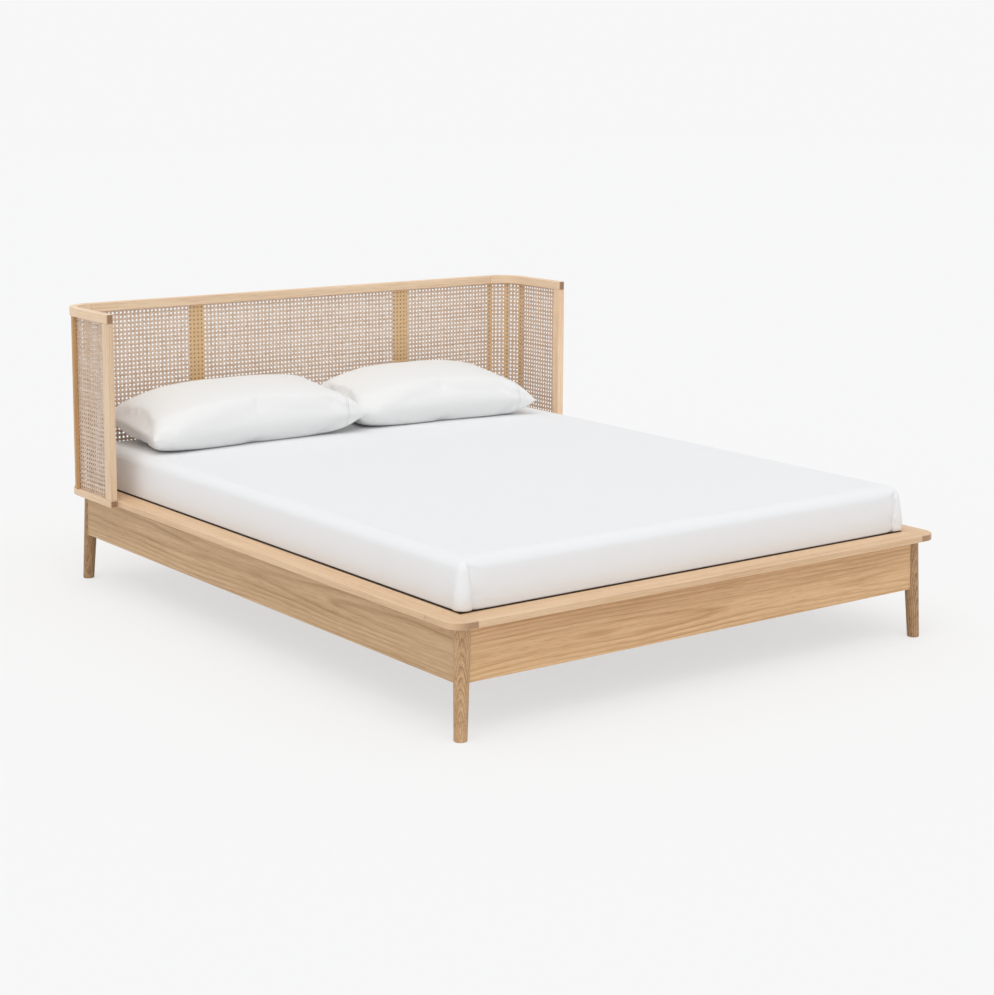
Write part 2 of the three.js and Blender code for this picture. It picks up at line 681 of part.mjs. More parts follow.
// Each pillow is tipped up towards the headboard, turned a little, and let down
// until its belly all but touches the crowned top of the mattress.
function restingHeight(geometry, x, y) {
  const position = geometry.attributes.position;
  const clear = Array.from({ length: position.count }, (_, i) => {
    const u = (x + position.getX(i)) / (mattressWidth / 2);
    const v = (y + position.getY(i) - mattressY) / (mattressLength / 2);
    return Math.abs(v) < 1 ? position.getZ(i) + crownDrop(u, v) : Infinity;
  });
  return mattressTop + seatGap - Math.min(...clear);
}
for (const [side, sign] of [["left", -1], ["right", 1]]) {
  const placed = pillow().rotateX(pillowTilt).rotateZ(THREE.MathUtils.degToRad(pillowTurns[side]));
  const x = (sign * (pillowWidth + pillowGap)) / 2 + pillowShift;
  placed.computeBoundingBox();
  const y = headboardFace - pillowHeadGap - placed.boundingBox.max.y;
  add(`pillow_${side}`, placed, cotton(), x, y, restingHeight(placed, x, y));
}

export default bed;
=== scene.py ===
# %% [markdown]
# # A rattan bed
#
# A platform bed in pale oak. A headboard of woven cane wraps round the head end
# as two short wings with rounded corners. A ledge runs round the mattress on
# rails that are housed in turned, splayed legs. This file dresses the bed's
# solids: each cell makes one kind of piece, from the frame to the soft goods.
# Sizes are in metres, x runs to the right, y to the head and z up.

import math

import bpy
import numpy as np
from mathutils import Matrix


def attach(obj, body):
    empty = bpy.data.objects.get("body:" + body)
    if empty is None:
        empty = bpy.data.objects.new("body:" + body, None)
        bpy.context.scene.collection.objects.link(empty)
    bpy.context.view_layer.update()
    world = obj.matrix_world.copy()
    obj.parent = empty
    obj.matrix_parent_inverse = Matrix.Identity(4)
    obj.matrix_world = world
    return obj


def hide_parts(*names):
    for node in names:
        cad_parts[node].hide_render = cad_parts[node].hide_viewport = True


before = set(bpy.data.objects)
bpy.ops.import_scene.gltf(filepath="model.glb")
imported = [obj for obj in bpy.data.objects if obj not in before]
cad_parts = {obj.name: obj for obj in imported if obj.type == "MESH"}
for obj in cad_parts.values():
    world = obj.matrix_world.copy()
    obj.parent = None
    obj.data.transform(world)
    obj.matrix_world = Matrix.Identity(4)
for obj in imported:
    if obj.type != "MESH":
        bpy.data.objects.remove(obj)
bpy.context.scene.view_settings.view_transform = "Standard"
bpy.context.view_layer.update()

# %% [markdown]
# ## The camera
#
# A photograph of furniture is often taken with a shifted lens, which keeps the
# legs and the headboard upright. Tilting the camera down would lean them. Most
# of the tilt is kept here and a small shift does the rest, so that the bed
# also stays whole when the same camera looks from another side.

# %% The camera
PICTURE = (994, 995)
FOCAL_PIXELS = 2089.5
CAMERA_PLACE = (-3.760, -5.0433, 1.661)
CAMERA_YAW = math.radians(37.067)
CAMERA_PITCH = math.radians(9.090)
CAMERA_ROLL = math.radians(0.366)
CENTRE_SHIFT = (0.0, -0.1006)


def aim(yaw, pitch, roll):
    """Rows: the picture's right, its up and the view direction. Yaw turns from
    +y towards +x, pitch looks down, and roll turns about the view direction."""
    forward = np.array(
        [
            math.sin(yaw) * math.cos(pitch),
            math.cos(yaw) * math.cos(pitch),
            -math.sin(pitch),
        ]
    )
    level = np.array([math.cos(yaw), -math.sin(yaw), 0.0])
    upright = np.cross(level, forward)
    right = math.cos(roll) * level + math.sin(roll) * upright
    up = -math.sin(roll) * level + math.cos(roll) * upright
    return right, up, forward


lens = bpy.data.cameras.new("camera")
lens.sensor_fit = "HORIZONTAL"
lens.sensor_width = 36.0
lens.lens = FOCAL_PIXELS / PICTURE[0] * lens.sensor_width
lens.shift_x, lens.shift_y = CENTRE_SHIFT
camera = bpy.data.objects.new("camera", lens)
right, up, forward = aim(CAMERA_YAW, CAMERA_PITCH, CAMERA_ROLL)
turn = np.eye(4)
turn[:3, 0], turn[:3, 1], turn[:3, 2] = right, up, -forward
turn[:3, 3] = CAMERA_PLACE
camera.matrix_world = Matrix(turn.tolist())
bpy.context.scene.collection.objects.link(camera)
bpy.context.scene.camera = camera
print("focal length", round(lens.lens, 2), "mm")

# %% [markdown]
# ## Light and floor
#
# The studio is nearly white on all sides. A plain world light and one broad
# sun add up to about one on an upward surface, so a colour renders much as it
# is written.
# The floor is a pale sheet. Towards the camera it glows a little, as a lit
# paper roll does, and the rest of its brightness takes the bed's soft shadow.

# %% Light and floor
PAPER = 0.934
SKY_COLOUR = (0.97, 0.985, 1.0, 1.0)
SUN_COLOUR = (1.0, 0.985, 0.96)
SUN_SPREAD = math.radians(55)
FLOOR_HALF = 30
SKY_SHARE = 0.69
SUN_SHARE = 0.33
SUN_FROM = (-0.34, -0.38, 1.0)
SHADOW_DEPTH = 0.33


def feed(tree, node, values):
    """Gives each socket its value, or a link where the value is an output."""
    for socket, value in values.items():
        if isinstance(value, bpy.types.NodeSocket):
            tree.links.new(value, node.inputs[socket])
        else:
            node.inputs[socket].default_value = value


def add(tree, kind, values=None, **settings):
    """A node of this kind, with its settings and what goes into its sockets."""
    made = tree.nodes.new(kind)
    for name, value in settings.items():
        setattr(made, name, value)
    feed(tree, made, values or {})
    return made


def maths(tree, operation, *values):
    """The result of a math node on these values."""
    return add(tree, "ShaderNodeMath", dict(enumerate(values)), operation=operation).outputs[0]


def is_seen(tree):
    """1 for rays from the camera, and for mirror and see-through rays."""
    path = add(tree, "ShaderNodeLightPath").outputs
    either = maths(tree, "MAXIMUM", path["Is Camera Ray"], path["Is Glossy Ray"])
    return maths(tree, "MAXIMUM", either, path["Is Transmission Ray"])


world = bpy.data.worlds.new("studio")
world.use_nodes = True
sky = world.node_tree
sky.nodes.clear()
grey = (PAPER, PAPER, PAPER, 1.0)
plain = add(sky, "ShaderNodeBackground", {"Color": SKY_COLOUR, "Strength": SKY_SHARE})
paper = add(sky, "ShaderNodeBackground", {"Color": grey, "Strength": 1.0})
choose = add(sky, "ShaderNodeMixShader", {0: is_seen(sky), 1: plain.outputs[0], 2: paper.outputs[0]})
add(sky, "ShaderNodeOutputWorld", {"Surface": choose.outputs[0]})
bpy.context.scene.world = world

toward = np.array(SUN_FROM) / np.linalg.norm(SUN_FROM)
lamp = bpy.data.lights.new("window", "SUN")
lamp.energy = SUN_SHARE * math.pi / toward[2]
lamp.angle = SUN_SPREAD
lamp.color = SUN_COLOUR
window = bpy.data.objects.new("window", lamp)
side = np.cross((0.0, 0.0, 1.0), toward)
side /= np.linalg.norm(side)
turn = np.eye(4)
turn[:3, 0], turn[:3, 1], turn[:3, 2] = side, np.cross(toward, side), toward
window.matrix_world = Matrix(turn.tolist())
bpy.context.scene.collection.objects.link(window)

sheet_of_paper = bpy.data.meshes.new("floor")
corners = FLOOR_HALF * np.array([(-1, -1, 0), (1, -1, 0), (1, 1, 0), (-1, 1, 0)])
sheet_of_paper.from_pydata(corners.tolist(), [], [(0, 1, 2, 3)])
floor = bpy.data.objects.new("floor", sheet_of_paper)
bpy.context.scene.collection.objects.link(floor)
paint = bpy.data.materials.new("paper")
paint.use_nodes = True
tree = paint.node_tree
tree.nodes.clear()
matte = add(tree, "ShaderNodeBsdfDiffuse", {"Color": grey})
glow = add(tree, "ShaderNodeEmission", {"Color": grey, "Strength": 1.0})
share = maths(tree, "MULTIPLY", is_seen(tree), 1.0 - SHADOW_DEPTH)
choose = add(tree, "ShaderNodeMixShader", {0: share, 1: matte.outputs[0], 2: glow.outputs[0]})
add(tree, "ShaderNodeOutputMaterial", {"Surface": choose.outputs[0]})
sheet_of_paper.materials.append(paint)
print("sun strength", round(lamp.energy, 3))

# %% [markdown]
# ## Tools for making pieces
#
# Every board of the frame is a flat outline with a thickness and softened
# edges. So one function rounds the outline's corners, and another turns the
# outline into a board by carrying it round the edge. The board also carries a
# grain attribute: how far each point lies along, across and through the wood.

# %% Tools for making pieces
BODY = "bed_frame"
# These tones are mostly painted shade and painted light: the two legs in shade are darker, and the lit
# right stile is lighter.
PIECE_TONE_AND_SHADE = {
    "turned_leg_foot_right": 0.84,
    "turned_leg_head_left": 0.74,
    "wing_stile_right": 1.12,
    "wing_stile_left": 0.93,
    "narrow_batten_wing_left": 0.95,
}
GRAIN_STEP = np.array([1.37, 0.0, 0.0])
pieces_made = []


def outline_of(corners, radii, steps=5):
    """A closed outline, anticlockwise. An arc of its radius takes each corner's
    place: it starts radius * tan(turn / 2) before the corner, and its normal
    turns from the first side's to the second's. Returns points and normals."""
    corners = np.array(corners, float)
    count = len(corners)
    radii = np.broadcast_to(radii, count)
    steps = np.broadcast_to(steps, count)
    ahead = np.roll(corners, -1, axis=0) - corners
    ahead /= np.linalg.norm(ahead, axis=1)[:, None]
    before = np.roll(ahead, 1, axis=0)
    cross = before[:, 0] * ahead[:, 1] - before[:, 1] * ahead[:, 0]
    angle = np.arctan2(cross, (before * ahead).sum(axis=1))
    points, normals = [], []
    for i in range(count):
        radius, sign = radii[i], np.sign(angle[i])
        start = corners[i] - before[i] * radius * abs(math.tan(angle[i] / 2))
        first = np.array([before[i, 1], -before[i, 0]])
        part = np.linspace(0, angle[i], steps[i] + 1)
        normal = np.stack(
            [
                first[0] * np.cos(part) - first[1] * np.sin(part),
                first[0] * np.sin(part) + first[1] * np.cos(part),
            ],
            axis=1,
        )
        points.append(start + sign * radius * (normal - first))
        normals.append(normal)
    return np.concatenate(points), np.concatenate(normals)


def mesh_piece(name, points, faces, material, slot, nodes, normals=None, **marks):
    """Puts a finished mesh into the scene: it rides on the bed, stands for its solids, and holds each mark
    as an attribute of its points. A piece of wood also has a tone, because no two boards are equally dark;
    for some pieces the tone is painted shade or painted light."""
    mesh = bpy.data.meshes.new(name)
    mesh.from_pydata(np.asarray(points).tolist(), [], faces)
    mesh.update()
    if "grain" in marks:
        # The tone carries the painted shade or light listed above.
        marks["tone"] = np.full(len(points), PIECE_TONE_AND_SHADE.get(name, 1.0))
    for mark, values in marks.items():
        values = np.asarray(values, float)
        if values.ndim == 2:
            layer = mesh.attributes.new(mark, "FLOAT_VECTOR", "POINT")
            layer.data.foreach_set("vector", values.ravel())
        else:
            layer = mesh.attributes.new(mark, "FLOAT", "POINT")
            layer.data.foreach_set("value", values.ravel())
    if normals is not None:
        mesh.shade_smooth()
        mesh.normals_split_custom_set_from_vertices(np.asarray(normals).tolist())
    mesh.materials.append(material)
    piece = bpy.data.objects.new(name, mesh)
    bpy.context.scene.collection.objects.link(piece)
    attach(piece, BODY)
    if nodes:
        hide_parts(*nodes)
    pieces_made.append(name)
    return piece


def quads_of(index):
    """One face for each cell of a grid of point numbers."""
    cells = [index[..., :-1, :-1], index[..., 1:, :-1], index[..., 1:, 1:], index[..., :-1, 1:]]
    return np.stack(cells, axis=-1).reshape(-1, 4)


def board_faces(rings, columns):
    """Quads between neighbouring rings, and a flat cap at each end."""
    index = np.arange(rings * columns).reshape(rings, columns)
    quads = quads_of(np.hstack([index, index[:, :1]]))[:, [0, 3, 2, 1]]
    return quads.tolist() + [index[0, ::-1].tolist(), index[-1].tolist()]


def rounded(radii, arris):
    """Corner radii that an arris of this size can run round without crossing
    itself: none is smaller than the arris."""
    return np.maximum(radii, 1.05 * arris)


def board_shape(outline, span, arris, steps=4):
    """psi goes from -90 to 90 degrees round the softened edge. The outline moves
    in by arris * (1 - cos psi), and the height goes from low + arris below to
    high - arris above, plus arris * sin psi."""
    points, normals = outline
    low, high = span
    quarter = np.linspace(0, math.pi / 2, steps + 1)
    psi = np.concatenate([-quarter[::-1], quarter])
    base = np.repeat([low + arris, high - arris], steps + 1)
    inset = arris * (1 - np.cos(psi))
    place = points[None] - normals[None] * inset[:, None, None]
    height = np.broadcast_to((base + arris * np.sin(psi))[:, None, None], place[..., :1].shape)
    facing = normals[None] * np.cos(psi)[:, None, None]
    lift = np.broadcast_to(np.sin(psi)[:, None, None], height.shape)
    edge = np.broadcast_to(np.abs(np.sin(2 * psi))[:, None], place.shape[:2])
    return (
        np.concatenate([place, height], axis=2).reshape(-1, 3),
        np.concatenate([facing, lift], axis=2).reshape(-1, 3),
        edge.ravel(),
        board_faces(len(psi), len(points)),
    )


def shifted(grain):
    """Moves the grain on, piece by piece, so that no two show the same figure."""
    return grain + len(pieces_made) * GRAIN_STEP


def grain_of(points, along):
    """Distance along, across and through the wood from the piece's middle."""
    order = {"x": (0, 1, 2), "y": (1, 0, 2), "z": (2, 0, 1)}[along]
    middle = (points.min(axis=0) + points.max(axis=0)) / 2
    return shifted((points - middle)[:, order])


def end_of(normals, along):
    """1 where the surface cuts across the grain, and 0 along it."""
    return np.abs(normals[:, "xyz".index(along)]) ** 4


def board(name, corners, span, along, material, slot, node, arris=0.0012, radii=0, steps=5):
    """A board from its corners in plan, between two heights, with the grain
    along x, y or z."""
    outline = outline_of(corners, rounded(radii, arris), steps)
    points, normals, edge, faces = board_shape(outline, span, arris)
    marks = {"grain": grain_of(points, along), "edge": edge, "end": end_of(normals, along)}
    return mesh_piece(name, points, faces, material, slot, [node], normals, **marks)


def block(x0, x1, y0, y1):
    """The four corners of a rectangle in plan, anticlockwise."""
    return [(x0, y0), (x1, y0), (x1, y1), (x0, y1)]


def mirrored(corners, side):
    """The same corners on the right side (1) or on the left side (-1), where
    they come in the opposite order."""
    return [(side * x, y) for x, y in corners][::side]


# %% [markdown]
# ## Oak
#
# Oak shows three things: growth rings, which open into tall arches on a flat
# sawn face, short dark pores along the grain, and a broad drift of colour. The
# rings are circles round the heart of the tree, which wanders along the board.
# A picture of wood would repeat. Rings that are worked out from the grain
# attribute run on round each edge, and they bend with the bent rails.

# %% Oak and the other woods


def colour(written):
    """A written colour such as C7A67A, as the linear values that nodes take."""
    values = np.array([int(written[i : i + 2], 16) for i in (0, 2, 4)]) / 255
    linear = np.where(values <= 0.04045, values / 12.92, ((values + 0.055) / 1.055) ** 2.4)
    return (*linear.tolist(), 1.0)


def group_of(name, inputs, outputs):
    """An empty node group, what its sockets give, and its output node."""
    group = bpy.data.node_groups.new(name, "ShaderNodeTree")
    for title, (kind, value) in inputs.items():
        made = group.interface.new_socket(title, in_out="INPUT", socket_type=f"NodeSocket{kind}")
        if value is not None:
            made.default_value = value
    for title, kind in outputs.items():
        group.interface.new_socket(title, in_out="OUTPUT", socket_type=f"NodeSocket{kind}")
    return group, group.nodes.new("NodeGroupInput").outputs, group.nodes.new("NodeGroupOutput")


def new_material(name):
    """A material with its node tree and its shader."""
    material = bpy.data.materials.new(name)
    material.use_nodes = True
    return material, material.node_tree, material.node_tree.nodes["Principled BSDF"]


def mark_of(tree, name, output="Fac"):
    """What the points' attribute of this name holds."""
    return add(tree, "ShaderNodeAttribute", attribute_name=name).outputs[output]


def mixed(tree, share, first, second):
    """The first colour where the share is 0, and the second where it is 1."""
    values = {"Factor": share, "A": first, "B": second}
    return add(tree, "ShaderNodeMix", values, data_type="RGBA").outputs["Result"]


def raised(tree, height, strength, distance):
    """The normal of a surface that rises and falls with the height."""
    values = {"Height": height, "Strength": strength, "Distance": distance}
    return add(tree, "ShaderNodeBump", values).outputs["Normal"]


# Rounded edges are lightened: partly wear from sanding, partly a painted highlight where the arris catches
# the light.
SANDED_EDGE_AND_HIGHLIGHT = (0.92, 0.76, 0.58, 1.0)
# Faces across the grain are darkened as end grain; on the headboard's noses this is made deeper as painted
# shade.
END_GRAIN_AND_SHADE = (0.22, 0.10, 0.045, 1.0)


def wood_figure():
    """Rings: the fraction of distance from the wandering heart over the ring
    spacing. Pores and fibres: noise that is stretched along the grain."""
    inputs = {
        "Grain": ("Vector", None),
        "Edge": ("Float", 0.0),
        "End": ("Float", 0.0),
        "Tone": ("Float", 1.0),
        "Pale": ("Color", (0.7, 0.5, 0.3, 1.0)),
        "Dark": ("Color", (0.5, 0.3, 0.15, 1.0)),
        "Ring Spacing": ("Float", 0.008),
        "Ring Strength": ("Float", 0.5),
        "Pore Strength": ("Float", 0.5),
        "Heart": ("Vector", (0.0, 0.03, 0.05)),
    }
    outputs = {"Color": "Color", "Roughness": "Float", "Height": "Float"}
    group, given, out = group_of("wood_figure", inputs, outputs)

    def calc(operation, *values):
        return maths(group, operation, *values)

    def vector(operation, *values, output=0):
        made = add(group, "ShaderNodeVectorMath", dict(enumerate(values)), operation=operation)
        return made.outputs[output]

    def noise(stretch, detail, roughness=0.5):
        values = {"Vector": vector("MULTIPLY", given["Grain"], stretch), "Scale": 1.0}
        values.update({"Detail": detail, "Roughness": roughness})
        return add(group, "ShaderNodeTexNoise", values, noise_dimensions="3D").outputs

    def wander(place, stretch, detail, reach):
        centred = vector("SUBTRACT", noise(stretch, detail)["Color"], (0.5, 0.5, 0.5))
        return vector("ADD", place, vector("MULTIPLY", centred, (0.0, reach, reach)))

    def varied(shade, stretch, detail, strength, roughness=0.5):
        about = calc("SUBTRACT", noise(stretch, detail, roughness)["Fac"], 0.5)
        return calc("ADD", shade, calc("MULTIPLY", about, strength))

    place = wander(given["Grain"], (0.8, 2.0, 2.0), 1.0, 0.060)
    place = wander(place, (7.0, 34.0, 34.0), 2.0, 0.0045)
    place = vector("MULTIPLY", vector("ADD", place, given["Heart"]), (0.0, 1.0, 1.0))
    reach = vector("LENGTH", place, output="Value")
    part = calc("FRACT", calc("DIVIDE", reach, given["Ring Spacing"]))
    falling = calc("MINIMUM", calc("MULTIPLY", calc("SUBTRACT", 1.0, part), 4.0), 1.0)
    late = calc("MULTIPLY", calc("POWER", part, 2.2), falling)
    clear = calc("MULTIPLY_ADD", noise((1.7, 9.0, 9.0), 2.0)["Fac"], 1.8, -0.25)
    ring = calc("MULTIPLY", calc("MULTIPLY", late, clear), given["Ring Strength"])
    dark_pore = calc("SUBTRACT", noise((20.0, 850.0, 850.0), 1.0)["Fac"], 0.56)
    dark_pore = calc("MINIMUM", calc("MAXIMUM", calc("MULTIPLY", dark_pore, 7.0), 0.0), 1.0)
    early = calc("SUBTRACT", 1.0, calc("MULTIPLY", part, 0.8))
    pores = calc("MULTIPLY", calc("MULTIPLY", dark_pore, early), given["Pore Strength"])
    shade = varied(ring, (7.0, 480.0, 480.0), 3.0, 0.95, roughness=0.65)
    shade = varied(shade, (2.0, 110.0, 110.0), 2.0, 0.50)
    shade = varied(shade, (0.9, 12.0, 12.0), 3.0, 0.80)
    shade = calc("ADD", calc("ADD", shade, pores), 0.14)
    limit = add(group, "ShaderNodeClamp", {0: shade}).outputs[0]
    tint = mixed(group, limit, given["Pale"], given["Dark"])
    # Painted highlight and wear: the rounded edges go towards a pale colour.
    tint = mixed(group, calc("MULTIPLY", given["Edge"], 0.40), tint, SANDED_EDGE_AND_HIGHLIGHT)
    # End grain darkening, partly painted shade on the noses.
    tint = mixed(group, calc("MULTIPLY", given["End"], 0.60), tint, END_GRAIN_AND_SHADE)
    toned = add(group, "ShaderNodeVectorMath", {0: tint, "Scale": given["Tone"]}, operation="SCALE")
    rough = calc("ADD", calc("MULTIPLY", shade, 0.14), 0.46)
    height = calc("MULTIPLY", shade, -1.0)
    feed(group, out, {"Color": toned.outputs[0], "Roughness": rough, "Height": height})
    return group


figure = wood_figure()


def wood(name, pale, dark, spacing=0.008, ring=0.55, pore=0.5, heart=(0.0, 0.03, 0.05)):
    """A wood finish from the figure, with a thin satin oil."""
    material, tree, shader = new_material(name)
    values = {
        "Grain": mark_of(tree, "grain", "Vector"),
        "Edge": mark_of(tree, "edge"),
        "End": mark_of(tree, "end"),
        "Tone": mark_of(tree, "tone"),
        "Pale": colour(pale),
        "Dark": colour(dark),
        "Ring Spacing": spacing,
        "Ring Strength": ring,
        "Pore Strength": pore,
        "Heart": heart,
    }
    made = add(tree, "ShaderNodeGroup", node_tree=figure)
    feed(tree, made, values)
    finish = {
        "Base Color": made.outputs["Color"],
        "Roughness": made.outputs["Roughness"],
        "Normal": raised(tree, made.outputs["Height"], 0.12, 0.0004),
        "Specular IOR Level": 0.35,
    }
    feed(tree, shader, finish)
    return material


ledge_oak = wood("ledge_oak", "E6C5A0", "BC9167", ring=0.35, heart=(0.0, 0.01, 0.055))
foot_oak = wood("foot_oak", "E6BE90", "A87848", spacing=0.009, ring=0.95, heart=(0.0, 0.050, 0.020))
side_oak = wood("side_oak", "D6B48B", "99714A", spacing=0.009, ring=0.95, heart=(0.0, -0.050, -0.015))
leg_oak = wood("leg_oak", "DAB68C", "855730", spacing=0.0055, ring=1.2, pore=0.8, heart=(0.0, 0.010, 0.026))
head_oak = wood("head_oak", "F5D9B9", "BC936A", ring=0.45, heart=(0.0, 0.04, 0.05))
batten_wood = wood("batten_wood", "CBA066", "A57A44", spacing=0.005, ring=0.4, pore=0.3)
strip_wood = wood("strip_wood", "D6AA78", "A87E4A", spacing=0.005, ring=0.4, pore=0.3)
slat_pine = wood("slat_pine", "E3C79A", "C49A62", spacing=0.006, ring=0.7, pore=0.0)
print("woods", [m.name for m in bpy.data.materials if m.node_tree and "oak" in m.name])

# %% [markdown]
# ## Ledge and rails
#
# The ledge is a flat frame of boards round the mattress. Separate corner pieces
# at the foot have a rounded corner, and their seams show. The rails stand on
# edge under the ledge, set back from its rim, and run into the legs.

# %% Ledge
SIDES = {"right": 1, "left": -1}
LEDGE_SPAN = (0.2943, 0.3133)
LEDGE_ARRIS = 0.002
LEDGE_OUT, LEDGE_IN = 0.872, 0.802
FOOT_EDGE = -1.0585
CORNER_END = -0.9255
SEAM = 0.0003
BEND_X, BEND_Y = 0.7973, 0.9585
BEND_INSIDE = 0.0747

foot_corners = block(-0.8017, 0.8017, FOOT_EDGE, -0.9825)
board("foot_ledge_board", foot_corners, LEDGE_SPAN, "x", ledge_oak, "oak", "foot_ledge", LEDGE_ARRIS)
for name, side in SIDES.items():
    board(
        f"ledge_corner_board_{name}",
        mirrored(block(LEDGE_IN, LEDGE_OUT, FOOT_EDGE, CORNER_END), side),
        LEDGE_SPAN,
        "y",
        ledge_oak,
        "oak",
        f"ledge_corner_{name}",
        LEDGE_ARRIS,
        radii=np.array([0, 0.050, 0, 0])[::side],
        steps=np.array([3, 16, 3, 3])[::side],
    )
    corners = mirrored(block(LEDGE_IN, LEDGE_OUT, CORNER_END + SEAM, BEND_Y + BEND_INSIDE), side)
    radii = rounded(np.array([0, 0, BEND_INSIDE, 0])[::side], LEDGE_ARRIS)
    shape, facing = outline_of(corners, radii, np.array([3, 3, 24, 2])[::side])
    shape[:, 0] = side * np.maximum(side * shape[:, 0], LEDGE_IN)
    points, normals, edge, faces = board_shape((shape, facing), LEDGE_SPAN, LEDGE_ARRIS)
    marks = {"grain": grain_of(points, "y"), "edge": edge, "end": end_of(normals, "y")}
    nodes = [f"side_ledge_{name}"]
    mesh_piece(f"side_ledge_board_{name}", points, faces, ledge_oak, "oak", nodes, normals, **marks)
print("ledge", LEDGE_OUT * 2, "m wide")

# %% Rails
RAIL_SPAN = (0.146, 0.294)
RAIL_HALF = 0.8057

for name, side in SIDES.items():
    corners = mirrored(block(0.811, 0.833, -1.0009, 1.0249), side)
    board(f"side_rail_board_{name}", corners, RAIL_SPAN, "y", side_oak, "oak", f"side_rail_{name}")
for end, back, front in (("foot", -1.0195, -0.9975), ("head", 1.0215, 1.0435)):
    corners = block(-RAIL_HALF, RAIL_HALF, back, front)
    board(f"{end}_rail_board", corners, RAIL_SPAN, "x", foot_oak, "oak", f"{end}_rail")
print("foot and head rail", 2 * RAIL_HALF, "m long")

# %% [markdown]
# ## Legs
#
# Each leg is turned on a lathe as a tapered round and leans outward both ways.
# A lathe profile could be turned and then tilted. Here each level is a circle
# that slides out as it goes down, so the ends stay flat on floor and ledge.

# %% Legs
LEG_SPAN = (0.0, 0.294)
SPLAY = 0.044
LEG_RADII = (0.0175, 0.0230)
RIMS = (0.0025, 0.001)
RING_SLANT = 0.12


def turned(name, foot, lean, span, radii, rims, material, slot, node):
    """Radius goes evenly from floor to top. The centre moves from its place at
    the foot by the lean times the height. Both ends have a softened rim. The
    year rings slant a little, so the lathe cuts them to long pointed arches."""
    quarter = np.linspace(0, math.pi / 2, 5)
    shaft = np.linspace(span[0] + rims[0], span[1] - rims[1], 12)[1:-1]
    low, high = span[0] + rims[0] * (1 - np.cos(quarter)), span[1] - rims[1] * (1 - np.sin(quarter))
    height = np.concatenate([low, shaft, high])
    inset = np.concatenate([rims[0] * (1 - np.sin(quarter)), 0 * shaft, rims[1] * (1 - np.cos(quarter))])
    share = (height - span[0]) / (span[1] - span[0])
    radius = radii[0] + (radii[1] - radii[0]) * share - inset
    around = np.linspace(0, 2 * math.pi, 49)[:-1]
    x = radius[:, None] * np.cos(around) + foot[0] + lean[0] * height[:, None]
    y = radius[:, None] * np.sin(around) + foot[1] + lean[1] * height[:, None]
    z = np.broadcast_to(height[:, None], x.shape)
    points = np.stack([x, y, z], axis=-1).reshape(-1, 3)
    level = np.concatenate([np.cos(quarter) * -1, 0 * shaft, np.sin(quarter)])
    flat = np.sqrt(1 - level**2)
    upward = np.broadcast_to(level[:, None], x.shape)
    facing = [flat[:, None] * np.cos(around), flat[:, None] * np.sin(around), upward]
    normals = np.stack(facing, axis=-1).reshape(-1, 3)
    edge = np.repeat(np.abs(2 * level * flat), len(around))
    grain = np.stack([points[:, 2], points[:, 0] - foot[0], points[:, 1] - foot[1]], axis=1)
    grain[:, 1:] += RING_SLANT * (points[:, 2:] - height[-1] / 2)
    faces = board_faces(len(height), len(around))
    marks = {"grain": shifted(grain), "edge": edge, "end": end_of(normals, "z")}
    return mesh_piece(name, points, faces, material, slot, [node], normals, **marks)


for name, side in SIDES.items():
    for end, y_foot, ahead in (("foot", -1.0165, 1), ("head", 1.0405, -1)):
        piece, lean = f"turned_leg_{end}_{name}", (-side * SPLAY, ahead * SPLAY)
        place, node = (side * 0.825, y_foot), f"leg_{end}_{name}"
        turned(piece, place, lean, LEG_SPAN, LEG_RADII, RIMS, leg_oak, "leg_oak", node)
print("legs splay", round(math.degrees(math.atan(SPLAY)), 2), "degrees")

# %% [markdown]
# ## The headboard's frame
#
# Two rails run across the back. At each end a bent piece carries them round
# the corner and forward to the wing's rounded nose, and a stile joins the two.
# The bent piece is one outline with a wide arc outside and a tighter arc
# inside. Its grain follows the bend, because the wood was bent or laminated.

# %% The headboard's frame
HEAD_OUT = 0.8973
HEAD_BACK = 1.0585
HEAD_THICK = 0.025
BEND_RADIUS = 0.100
NOSE_Y = 0.7265
HEAD_ARRIS = 0.0015
TOP_RAIL = (0.867, 0.895)
BOTTOM_RAIL = (0.2943, 0.3143)
STILE = (0.7285, 0.7585)
CANE_DEPTH = 0.01455


def wrap_place(s, depth):
    """Where a point lies in plan that is s along the headboard's wrap, from its
    middle, and depth in from its outer face. The wrap is straight as far as the
    bend, then turns through a quarter circle, then runs forward."""
    turn_length = (BEND_RADIUS - CANE_DEPTH) * math.pi / 2
    far = np.abs(s)
    angle = np.clip((far - BEND_X) / (BEND_RADIUS - CANE_DEPTH), 0, math.pi / 2)
    ahead = np.maximum(far - BEND_X - turn_length, 0)
    x = np.minimum(far, BEND_X) + (BEND_RADIUS - depth) * np.sin(angle)
    y = BEND_Y + (BEND_RADIUS - depth) * np.cos(angle) - ahead
    return np.sign(s) * x, y


def wrap_grain(points):
    """The same wrap read the other way: distance along it, height and depth."""
    x, y = np.abs(points[:, 0]), points[:, 1]
    angle = np.arctan2(np.maximum(x - BEND_X, 0), np.maximum(y - BEND_Y, 1e-9))
    angle = np.where(x <= BEND_X, 0, angle)
    reach = np.hypot(x - BEND_X, y - BEND_Y)
    depth = np.where(y <= BEND_Y, HEAD_OUT - x, BEND_RADIUS - reach)
    depth = np.where(x <= BEND_X, HEAD_BACK - y, depth)
    middle = BEND_RADIUS - HEAD_THICK / 2
    along = np.minimum(x, BEND_X) + middle * angle + np.maximum(BEND_Y - y, 0)
    return shifted(np.stack([np.sign(points[:, 0]) * along, points[:, 2], depth], axis=1))


